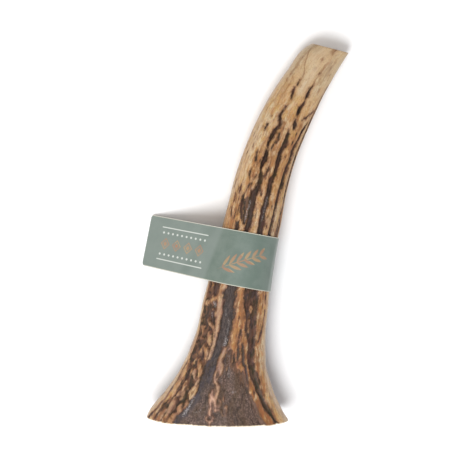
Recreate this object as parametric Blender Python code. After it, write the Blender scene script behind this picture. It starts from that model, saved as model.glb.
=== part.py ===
# A sawn piece of deer antler, lying on its side, with a folded card band round its middle.
# Frame: metres, +Z up, +Y from the wide sawn base towards the narrow end.
# The origin is on the resting surface, under the middle of the whole object.
# Sizes are in millimetres and angles in degrees, up to the step that makes the meshes.

import bmesh
import bpy
import numpy as np
from mathutils import Vector, noise

MM = 0.001

# The antler's sections from the base to the narrow end: x and y of the middle, half width,
# half height, height of the underside, and the turn of the section's plane from the X axis,
# clockwise from above.
SECTIONS = (
    (-13.6, -92.3, 35.3, 17.0, -0.8, 1.3),
    (-14.2, -88.3, 33.0, 16.7, -0.5, 0.8),
    (-13.9, -84.8, 30.6, 16.4, -0.1, 0.4),
    (-12.8, -78.7, 26.7, 15.9, 0.5, 0.0),
    (-11.5, -72.7, 23.4, 15.4, 1.0, 0.0),
    (-10.3, -66.7, 21.1, 15.0, 1.4, 0.0),
    (-8.5, -57.7, 18.8, 14.5, 1.8, 0.0),
    (-6.7, -48.7, 17.1, 14.0, 2.2, 2.0),
    (-4.8, -36.7, 16.2, 13.6, 2.5, 5.0),
    (-1.9, -20.9, 14.9, 13.2, 2.6, 10.0),
    (1.3, -5.3, 14.2, 12.8, 2.6, 12.0),
    (4.6, 8.9, 13.9, 12.3, 2.5, 12.0),
    (7.7, 23.4, 13.5, 11.8, 2.2, 14.5),
    (12.2, 37.7, 13.0, 11.2, 1.8, 19.0),
    (18.2, 52.2, 12.6, 10.5, 1.3, 24.0),
    (24.3, 64.6, 12.0, 9.7, 0.8, 28.0),
    (31.1, 76.3, 11.0, 8.9, 0.3, 29.0),
    (40.9, 90.8, 10.2, 8.1, -0.4, 16.2),
    (43.2, 92.9, 9.5, 7.8, -0.5, 14.5),
)
SQUARENESS = 2.25  # 2 is an ellipse

# The two saw cuts lean out at the top by these angles, or in where less than 0. The
# sections turn from the cut to upright over these lengths. The rims are rounded off a little.
BASE_LEAN, BASE_LEAN_REACH = 10.0, 26.0
TIP_LEAN, TIP_LEAN_REACH = -6.0, 10.0
RIM_ROUND, RIM_DROP = 0.6, 0.5

# Veins are grooves that run along the antler: the depth, then places along the route as
# the distance from the base, the angle from the crest, and the width of the groove.
VEINS = (
    (1.2, ((168, -13, 0.8), (164, -5, 1.3), (155, -7, 1.4), (150, -2, 1.6), (140, -7, 1.9),
           (128, -6, 2.0), (119, -3, 2.6), (110, -9, 2.8), (95, -5, 3.2), (80, -9, 4.5),
           (66, -13, 7.0), (54, -9, 6.7), (41, -13, 6.2), (35, -14, 5.2), (28, -16, 6.0),
           (16, -17, 5.2), (10, -19, 6.5), (4, -18, 8.0), (0, -18, 9.0))),
    (1.1, ((176, 22, 0.6), (169, 21, 1.4), (158, 22, 1.6), (152, 24, 2.2), (146, 19, 2.3),
           (135, 19, 2.4), (124, 19, 1.8), (112, 15, 2.2), (98, 15, 3.0), (80, 17, 3.6),
           (64, 24, 6.0), (55, 28, 5.4), (48, 33, 4.2), (35, 37, 3.0), (27, 35, 3.6),
           (20, 44, 4.6), (10, 53, 3.8), (0, 57, 4.0))),
    (0.8, ((158, 68, 0.8), (152, 68, 1.4), (146, 57, 1.5), (132, 55, 1.5), (120, 47, 1.8),
           (109, 38, 1.7), (95, 39, 1.9), (80, 44, 1.8), (61, 51, 1.4), (45, 63, 1.2),
           (23, 75, 1.4), (0, 86, 1.4))),
    (0.9, ((66, -44, 3.4), (61, -44, 4.4), (57, -41, 4.0), (49, -38, 2.8), (44, -36, 3.0),
           (35, -37, 2.4), (27, -38, 3.0), (21, -35, 2.6), (11, -37, 2.8), (0, -46, 3.0))),
    (0.7, ((56, -60, 1.6), (46, -58, 2.2), (37, -54, 1.8), (21, -54, 1.8), (14, -51, 2.0),
           (10, -56, 2.2), (0, -62, 2.4))),
    (0.6, ((115, -34, 0.8), (110, -44, 1.6), (105, -50, 1.4), (95, -47, 1.8), (80, -46, 2.4),
           (66, -44, 3.4))),
    (0.7, ((112, -22, 1.0), (107, -28, 2.0), (99, -27, 2.4), (95, -32, 2.6), (80, -30, 3.0),
           (68, -28, 2.2), (62, -26, 1.2))),
)

# Ridges stand up between the veins: height, then the same kind of route.
RIDGES = (
    (0.6, ((37, -3, 1.6), (31, -4, 2.0), (25, -6, 2.0), (17, -1, 2.2), (12, -5, 2.2),
           (9, -1, 2.4), (7, -4, 2.4), (0, -4, 2.6))),
    (0.5, ((66, 3, 4.0), (55, 2, 4.2), (42, 3, 3.6), (35, 4, 3.2), (27, 12, 2.0))),
    (0.4, ((23, 33, 1.6), (15, 39, 2.4), (9, 44, 3.0), (0, 46, 3.6))),
)

# On the sides and the underside the veins wander down from these angles, a step at a time.
# They start at a share of the length, and they widen from the narrow end to the base.
SIDE_VEIN_ANGLES = (97, 116, 137, 157, 178, 200, 221, 243, 264, 282)
SIDE_VEIN_DEPTH, SIDE_VEIN_STEP, SIDE_VEIN_DRIFT = 0.9, 9.0, 12.0
SIDE_VEIN_START, SIDE_VEIN_START_SPREAD = 0.62, 0.3
SIDE_VEIN_THIN, SIDE_VEIN_WIDENING, SIDE_VEIN_LEAST = 0.9, 3.2, 0.3
SIDE_VEIN_BEND_LENGTH, SIDE_VEIN_SWELL_LENGTH = 23.0, 11.0

# Low swellings all over, and the beads of the flared base: their height, their length
# along the antler and their width across it.
SWELL_HEIGHT, SWELL_LENGTH, SWELL_WIDTH = 0.3, 24.0, 9.0
BEAD_HEIGHT, BEAD_LENGTH, BEAD_WIDTH, BEAD_REACH = 0.8, 7.0, 3.4, 62.0
HIGHEST_UNDER_BAND, UNDER_BAND = 0.15, (60.0, 100.0)

# The mesh: rows from the base to the narrow end, closer together near the base.
ROWS, POINTS_ROUND, ROW_CROWDING = 44, 100, 1.3

# The band is a card strip, glued to itself at a tab that touches the resting surface. Its
# near edge runs in towards the tab, from the distance to the left where this starts.
BAND_MIDDLE, BAND_TURN, BAND_WIDTH = (-0.45, -13.3), 10.4, 27.1
CARD, BAND_GAP = 0.45, 0.35
TAB_LEFT_NEAR, TAB_LEFT_FAR, TAB_LENGTH = 49.9, 49.6, 8.0
TAB_NARROWING, NARROWING_START = 1.1, 8.0
ARC_POINTS, STRAIGHT_POINTS, BAND_STATIONS = 48, 3, 4


def eased(value, low, high):
    t = np.clip((value - low) / (high - low), 0.0, 1.0)
    return t * t * (3.0 - 2.0 * t)


def curve_through(knots, values, places):
    """A smooth cubic through the values at the knots, read at other places."""
    slopes = np.gradient(values, knots)
    left = np.clip(np.searchsorted(knots, places, side="right") - 1, 0, len(knots) - 2)
    span = knots[left + 1] - knots[left]
    t = (places - knots[left]) / span
    from_left = (1 + 2 * t) * (1 - t) ** 2 * values[left] + t * (1 - t) ** 2 * span * slopes[left]
    from_right = t * t * (3 - 2 * t) * values[left + 1] + t * t * (t - 1) * span * slopes[left + 1]
    return from_left + from_right


def distances_along(sections):
    steps = np.hypot(np.diff(sections[:, 0]), np.diff(sections[:, 1]))
    return np.concatenate([[0.0], np.cumsum(steps)])


TABLE = np.array(SECTIONS)
KNOTS = distances_along(TABLE)
LENGTH = float(KNOTS[-1])


def sections_at(along):
    """Middle, side direction, up direction, half width and half height at each distance."""
    columns = [curve_through(KNOTS, column, along) for column in TABLE.T]
    x, y, half_width, half_height, underside, turn = columns
    turn = np.radians(turn)
    lean = np.radians(BASE_LEAN) * (1 - eased(along, 0.0, BASE_LEAN_REACH))
    lean = lean - np.radians(TIP_LEAN) * eased(along, LENGTH - TIP_LEAN_REACH, LENGTH)
    level = np.zeros_like(turn)
    side = np.stack([np.cos(turn), -np.sin(turn), level], axis=-1)
    ahead = np.stack([np.sin(turn), np.cos(turn), level], axis=-1)
    up = np.array([0.0, 0.0, 1.0]) * np.cos(lean)[..., None] - ahead * np.sin(lean)[..., None]
    middle = np.stack([x, y, underside + half_height], axis=-1)
    return middle, side, up, half_width, half_height


def outline(angle, half_width, half_height, lift):
    """The rounded section's outline, raised by lift: distance to the side, and height."""
    power = 2.0 / SQUARENESS
    sine, cosine = np.sin(angle), np.cos(angle)
    size = np.hypot(sine * half_height, cosine * half_width)
    to_side = half_width * np.sign(sine) * np.abs(sine) ** power
    to_top = half_height * np.sign(cosine) * np.abs(cosine) ** power
    return (
        to_side + lift * sine * half_height / size,
        to_top + lift * cosine * half_width / size,
    )


def antler_points(along, angle, lift):
    middle, side, up, half_width, half_height = sections_at(along)
    to_side, to_top = outline(angle, half_width, half_height, lift)
    points = middle + side * to_side[..., None] + up * to_top[..., None]
    points[..., 2] = np.maximum(points[..., 2], 0.0)
    return points


def side_veins():
    """Routes that wander along the hidden sides, dashed at the narrow end, wide at the base."""
    routes = []
    for index, start in enumerate(SIDE_VEIN_ANGLES):
        spread = SIDE_VEIN_START_SPREAD * noise.cell(Vector((index, 1.0, 0.0)))
        route = []
        for along in np.arange(LENGTH * (SIDE_VEIN_START + spread), 0.0, -SIDE_VEIN_STEP):
            wander = noise.noise(Vector((along / SIDE_VEIN_BEND_LENGTH, 5.3 * index, 0.0)))
            swell = noise.noise(Vector((along / SIDE_VEIN_SWELL_LENGTH, 7.1 * index, 4.0)))
            width = SIDE_VEIN_THIN + SIDE_VEIN_WIDENING * (1 - along / LENGTH) ** 1.5
            width = max(width * (1.0 + 0.9 * swell), SIDE_VEIN_LEAST)
            route.append((along, start + SIDE_VEIN_DRIFT * wander, width))
        routes.append((SIDE_VEIN_DEPTH, (*route, (0.0, *route[-1][1:]))))
    return routes


def groove_shape(along, angle, radius, depth, route, finest):
    """Depth of one groove or ridge all over the grid, no narrower than the grid can show."""
    places, angles, widths = np.array(route[::-1], dtype=float).T
    middle = np.radians(np.interp(along, places, angles))
    width = np.interp(along, places, widths)
    off = (angle - middle + np.pi) % (2 * np.pi) - np.pi
    shown = np.maximum(width, finest)
    inside = 1.0 - np.abs(off) * radius / (shown / 2)
    ends = eased(along, places[0] - 4.0, places[0]) * (1 - eased(along, places[-1], places[-1] + 4.0))
    return depth * np.minimum(width / shown, 1.0) * ends * eased(inside, 0.0, 0.7)


def lumps(along, angle, height, length, width):
    """Smooth lumps that join up round the antler, longer along it than across."""
    _, _, _, half_width, half_height = sections_at(along)
    to_side, to_top = outline(angle, half_width, half_height, 0.0)
    places = np.stack([to_side / width, to_top / width, along / length], axis=-1)
    values = [noise.noise(Vector(place)) for place in places.reshape(-1, 3)]
    return height * np.array(values).reshape(along.shape)


def relief(along, angle):
    """How far the surface stands above the plain form, with its veins, ridges and lumps."""
    _, _, _, half_width, half_height = sections_at(along)
    radius = np.hypot(half_width * np.cos(angle), half_height * np.sin(angle))
    finest = 2.2 * 2 * np.pi * np.hypot(half_width, half_height) / np.sqrt(2) / POINTS_ROUND
    veins = [groove_shape(along, angle, radius, *vein, finest) for vein in (*VEINS, *side_veins())]
    ridges = [groove_shape(along, angle, radius, *ridge, finest) for ridge in RIDGES]
    at_base = 1 - eased(along, 0.0, BEAD_REACH)
    beads = at_base * lumps(along, angle, BEAD_HEIGHT, BEAD_LENGTH, BEAD_WIDTH)
    swells = lumps(along, angle, SWELL_HEIGHT, SWELL_LENGTH, SWELL_WIDTH)
    height = sum(ridges) - np.maximum.reduce(veins) + beads + swells
    clear_of_band = (along < UNDER_BAND[0]) | (along > UNDER_BAND[1])
    return np.where(clear_of_band, height, np.minimum(height, HIGHEST_UNDER_BAND))


def antler_rows():
    shares = np.linspace(0.0, 1.0, ROWS - 2) ** ROW_CROWDING
    return np.concatenate([[0.0], RIM_ROUND + (LENGTH - 2 * RIM_ROUND) * shares, [LENGTH]])


def new_mesh_object(name, points, faces, material):
    mesh = bpy.data.meshes.new(name)
    mesh.from_pydata([tuple(point) for point in points * MM], [], faces)
    shell = bmesh.new()
    shell.from_mesh(mesh)
    bmesh.ops.recalc_face_normals(shell, faces=shell.faces)
    shell.to_mesh(mesh)
    shell.free()
    mesh.shade_smooth()
    mesh.set_sharp_from_angle(angle=np.radians(40))
    mesh.materials.append(material)
    part = bpy.data.objects.new(name, mesh)
    bpy.context.scene.collection.objects.link(part)
    return part


def new_material(name, color, roughness):
    material = bpy.data.materials.new(name)
    material.use_nodes = True
    shader = material.node_tree.nodes["Principled BSDF"]
    shader.inputs["Base Color"].default_value = (*color, 1.0)
    shader.inputs["Roughness"].default_value = roughness
    shader.inputs["Metallic"].default_value = 0.0
    return material


def ring_faces(rings, around):
    """Quads between neighbouring closed rings of the same number of points."""
    faces = []
    for ring in range(rings - 1):
        for step in range(around):
            here, beside = ring * around + step, ring * around + (step + 1) % around
            faces.append((here, beside, beside + around, here + around))
    return faces


def build_antler():
    rows = antler_rows()
    turns = np.linspace(-np.pi, np.pi, POINTS_ROUND, endpoint=False)
    along, angle = np.meshgrid(rows, turns, indexing="ij")
    lift = relief(along, angle)
    lift[[0, -1]] -= RIM_DROP
    points = antler_points(along, angle, lift).reshape(-1, 3)
    faces = ring_faces(ROWS, POINTS_ROUND)
    faces.append(tuple(range(POINTS_ROUND)))
    faces.append(tuple(range((ROWS - 1) * POINTS_ROUND, ROWS * POINTS_ROUND)))
    return new_mesh_object("antler", points, faces, new_material("antler", (0.33, 0.19, 0.1), 0.55))


def band_directions():
    turn = np.radians(BAND_TURN)
    return np.array([np.cos(turn), -np.sin(turn)]), np.array([np.sin(turn), np.cos(turn)])


def section_under_band(ahead_place):
    """The antler's section that lies under one place across the band's width."""
    side, ahead = band_directions()
    along = np.linspace(0.0, LENGTH, 400)
    middle = sections_at(along)[0]
    places = (middle[:, :2] - BAND_MIDDLE) @ ahead
    here = np.array([np.interp(ahead_place, places, along)])
    middle, _, _, half_width, half_height = (value[0] for value in sections_at(here))
    return (middle[:2] - BAND_MIDDLE) @ side, middle[2], half_width, half_height


def hugging(section, angle):
    """The card's inner face where it lies round the antler: across and height."""
    across, height, half_width, half_height = section
    to_side, to_top = outline(angle, half_width, half_height, BAND_GAP)
    return np.stack([across + to_side, height + to_top], axis=-1)


def touching_angle(section, start, low, high):
    """The angle at which a straight line from the start just touches the wrapped card."""
    angles = np.radians(np.linspace(low, high, 600))
    curve = hugging(section, angles)
    heading = np.gradient(curve, axis=0)
    reach = curve - start
    turning = reach[:, 0] * heading[:, 1] - reach[:, 1] * heading[:, 0]
    return angles[np.argmin(np.abs(turning))]


def offset_normals(points):
    """Unit normals on the left of an open run of points."""
    heading = np.gradient(points, axis=0)
    normal = np.stack([-heading[:, 1], heading[:, 0]], axis=-1)
    return normal / np.linalg.norm(normal, axis=1)[:, None]


def band_profile(ahead_place):
    """The card's outer and inner loops at one place across its width."""
    section = section_under_band(ahead_place)
    share = ahead_place / BAND_WIDTH + 0.5
    tab_left = TAB_LEFT_NEAR + (TAB_LEFT_FAR - TAB_LEFT_NEAR) * share
    glue_end = np.array([-tab_left, CARD])
    for _ in range(3):
        top = touching_angle(section, glue_end, -75.0, -5.0)
        reach = hugging(section, top) - glue_end
        slope = reach / np.linalg.norm(reach)
        above = np.array([-slope[1], slope[0]])
        glue_end[1] = CARD * above[1]
    apex = glue_end + slope * TAB_LENGTH
    under = touching_angle(section, apex, 170.0, 230.0)
    arc = hugging(section, np.linspace(top, under, ARC_POINTS))
    shares = np.linspace(0.0, 1.0, STRAIGHT_POINTS + 2)[1:-1, None]
    down_slope = apex + (arc[0] - apex) * shares
    back_under = arc[-1] + (apex - arc[-1]) * shares
    inner_run = np.concatenate([[apex], down_slope, arc, back_under, [apex]])
    outer_run = inner_run + CARD * offset_normals(inner_run)
    below = offset_normals(inner_run)[-1]
    fold = apex + CARD * (below - above) / (1.0 - below @ above)
    tab = np.array([glue_end - CARD * above, glue_end + CARD * above])
    outer = np.concatenate([tab, outer_run[:-1], [fold]])
    return outer, inner_run[:-1]


def band_end_faces(outer_start, inner_start, outer_count, inner_count):
    """The card's cut edge as a strip of faces between its outer and its inner loop."""
    partners = [0, 0, *range(inner_count), 0]
    faces = []
    for step in range(outer_count):
        following = (step + 1) % outer_count
        corner, next_corner = outer_start + step, outer_start + following
        partner, next_partner = inner_start + partners[step], inner_start + partners[following]
        ring = (corner, next_corner, next_partner, partner)
        faces.append(ring[:3] if partner == next_partner else ring)
    return faces


def build_band():
    side, ahead = band_directions()
    places = np.linspace(-BAND_WIDTH / 2, BAND_WIDTH / 2, BAND_STATIONS)
    profiles = [band_profile(place) for place in places]
    outer_count, inner_count = len(profiles[0][0]), len(profiles[0][1])
    loops = []
    for which in (0, 1):
        for place, profile in zip(places, profiles):
            across, height = profile[which].T
            run_in = np.clip((-across - NARROWING_START) / (TAB_LEFT_NEAR - NARROWING_START), 0.0, 1.0)
            shifted = place + TAB_NARROWING * (0.5 - place / BAND_WIDTH) * run_in
            plan = np.array(BAND_MIDDLE) + across[:, None] * side + shifted[:, None] * ahead
            loops.append(np.column_stack([plan, height]))
    inner_base = outer_count * BAND_STATIONS
    faces = ring_faces(BAND_STATIONS, outer_count)
    faces += [tuple(inner_base + corner for corner in face)
              for face in ring_faces(BAND_STATIONS, inner_count)]
    for station in (0, BAND_STATIONS - 1):
        faces += band_end_faces(
            station * outer_count, inner_base + station * inner_count, outer_count, inner_count
        )
    points = np.concatenate(loops)
    return new_mesh_object("card_band", points, faces, new_material("card", (0.24, 0.3, 0.265), 0.6))


for leftover in list(bpy.data.objects):
    bpy.data.objects.remove(leftover)

antler = build_antler()
card_band = build_band()

for part in (antler, card_band):
    corners = np.array([vertex.co for vertex in part.data.vertices]) / MM
    low, high = corners.min(axis=0).round(2), corners.max(axis=0).round(2)
    print(part.name, len(part.data.vertices), "points, from", low, "to", high, "mm")
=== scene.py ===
import math
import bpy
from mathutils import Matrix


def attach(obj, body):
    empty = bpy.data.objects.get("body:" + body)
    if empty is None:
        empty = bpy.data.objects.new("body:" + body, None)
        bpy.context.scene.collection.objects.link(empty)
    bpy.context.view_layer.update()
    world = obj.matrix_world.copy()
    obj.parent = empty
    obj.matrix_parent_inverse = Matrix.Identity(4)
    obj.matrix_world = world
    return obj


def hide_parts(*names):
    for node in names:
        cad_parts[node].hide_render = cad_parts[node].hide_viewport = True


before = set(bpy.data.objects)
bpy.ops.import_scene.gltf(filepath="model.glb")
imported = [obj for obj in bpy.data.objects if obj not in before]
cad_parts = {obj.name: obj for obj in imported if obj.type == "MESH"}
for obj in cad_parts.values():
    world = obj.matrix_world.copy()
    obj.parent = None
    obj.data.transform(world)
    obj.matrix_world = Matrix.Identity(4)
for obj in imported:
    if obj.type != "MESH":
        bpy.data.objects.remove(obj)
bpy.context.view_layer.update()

from types import SimpleNamespace

import bpy
import numpy as np
from mathutils import Vector, noise

mm = 0.001
scene = bpy.context.scene


# shader maths: a wire is one output socket, and an expression on wires adds its own nodes

class Wire:
    def __init__(self, finish, socket):
        self.finish = finish
        self.socket = socket

    def maths(self, operation, first, second=0.0):
        return self.finish.add("ShaderNodeMath", {"operation": operation}, {0: first, 1: second})

    def __add__(self, other):
        return self.maths("ADD", self, other)

    def __radd__(self, other):
        return self.maths("ADD", other, self)

    def __sub__(self, other):
        return self.maths("SUBTRACT", self, other)

    def __rsub__(self, other):
        return self.maths("SUBTRACT", other, self)

    def __mul__(self, other):
        return self.maths("MULTIPLY", self, other)

    def __rmul__(self, other):
        return self.maths("MULTIPLY", other, self)

    def __pow__(self, other):
        return self.maths("POWER", self, other)

    def __rpow__(self, other):
        return self.maths("POWER", other, self)

    def __mod__(self, other):
        return self.maths("FLOORED_MODULO", self, other)

    def __rmod__(self, other):
        return self.maths("FLOORED_MODULO", other, self)

    def __abs__(self):
        return self.maths("ABSOLUTE", self)

    def most(self, other):
        return self.maths("MAXIMUM", self, other)

    def least(self, other):
        return self.maths("MINIMUM", self, other)

    def between(self, low, high):
        # 0 at low, 1 at high and smooth in between; low may be the larger
        return self.finish.add(
            "ShaderNodeMapRange", {"interpolation_type": "SMOOTHSTEP"},
            {"Value": self, "From Min": low, "From Max": high, "To Min": 0.0, "To Max": 1.0})


class Finish:
    def __init__(self, name):
        self.material = bpy.data.materials.new(name)
        self.material.use_nodes = True
        self.tree = self.material.node_tree
        self.shader = self.tree.nodes["Principled BSDF"]

    def add(self, kind, settings, sockets, output=0):
        # one node: its type, its settings, then the values or wires of its sockets
        node = self.tree.nodes.new(kind)
        for name, value in settings.items():
            setattr(node, name, value)
        for name, value in sockets.items():
            self.plug(node.inputs[name], value)
        return Wire(self, node.outputs[output])

    def plug(self, socket, value):
        if isinstance(value, Wire):
            self.tree.links.new(value.socket, socket)
        else:
            socket.default_value = value

    def feed(self, socketName, value):
        self.plug(self.shader.inputs[socketName], value)

    def stored(self, name, output="Fac"):
        # a value that the mesh keeps at each of its points
        return self.add("ShaderNodeAttribute", {"attribute_name": name}, {}, output)

    def scaled(self, vector, factors):
        return self.add("ShaderNodeVectorMath", {"operation": "MULTIPLY"}, {0: vector, 1: factors})

    def shifted(self, vector, offset):
        return self.add("ShaderNodeVectorMath", {"operation": "ADD"}, {0: vector, 1: offset})

    def blur(self, vector, scales, detail, roughness, offset=None):
        # smooth noise, about 0.25 to 0.75, with its waves to a mm on each axis
        if offset:
            vector = self.shifted(vector, offset)
        return self.add(
            "ShaderNodeTexNoise", {"noise_dimensions": "3D"},
            {"Vector": self.scaled(vector, scales), "Scale": 1.0, "Detail": detail, "Roughness": roughness})

    def mix(self, mask, first, second):
        return self.add(
            "ShaderNodeMix", {"data_type": "RGBA", "clamp_factor": True}, {0: mask, 6: first, 7: second}, 2)

    def bump(self, height, distance, strength):
        self.feed("Normal", self.add(
            "ShaderNodeBump", {}, {"Height": height, "Distance": distance, "Strength": strength}))


lightLevel = 1.3   # how much brighter than its own colour a level surface looks in this light
cellSpread = 7.3   # keeps the numbers of neighbouring cells apart


def tint(red, green, blue):
    # a colour as seen on screen, 0 to 255, to the finish's own linear values
    def linear(value):
        share = value / 255
        return (share / 12.92 if share <= 0.04045 else ((share + 0.055) / 1.055) ** 2.4) / lightLevel
    return (linear(red), linear(green), linear(blue), 1.0)


def eased(value, low, high):
    # 0 at low, 1 at high and smooth in between; low may be the larger
    t = np.clip((value - low) / (high - low), 0.0, 1.0)
    return t * t * (3.0 - 2.0 * t)


def noiseAt(points, size, seed=0.0):
    # smooth noise from -1 to 1; size is a length, or one for each axis
    places = (points / size + seed).reshape(-1, 3).tolist()
    values = np.fromiter(map(noise.noise, places), float, len(places))
    return values.reshape(points.shape[:-1])


def cellsAt(points, size, seed=0.0):
    # distance from the edge between cells, and a steady number for each cell
    places = (points / size + seed).reshape(-1, 3).tolist()
    gaps, names = np.empty(len(places)), np.empty(len(places))
    for index, place in enumerate(places):
        distances, centres = noise.voronoi(place)
        gaps[index] = distances[1] - distances[0]
        names[index] = noise.cell(centres[0] * cellSpread)
    return gaps.reshape(points.shape[:-1]), names.reshape(points.shape[:-1])


# the antler, with the sections of the frame's own solid and finer veins and ridges

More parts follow.
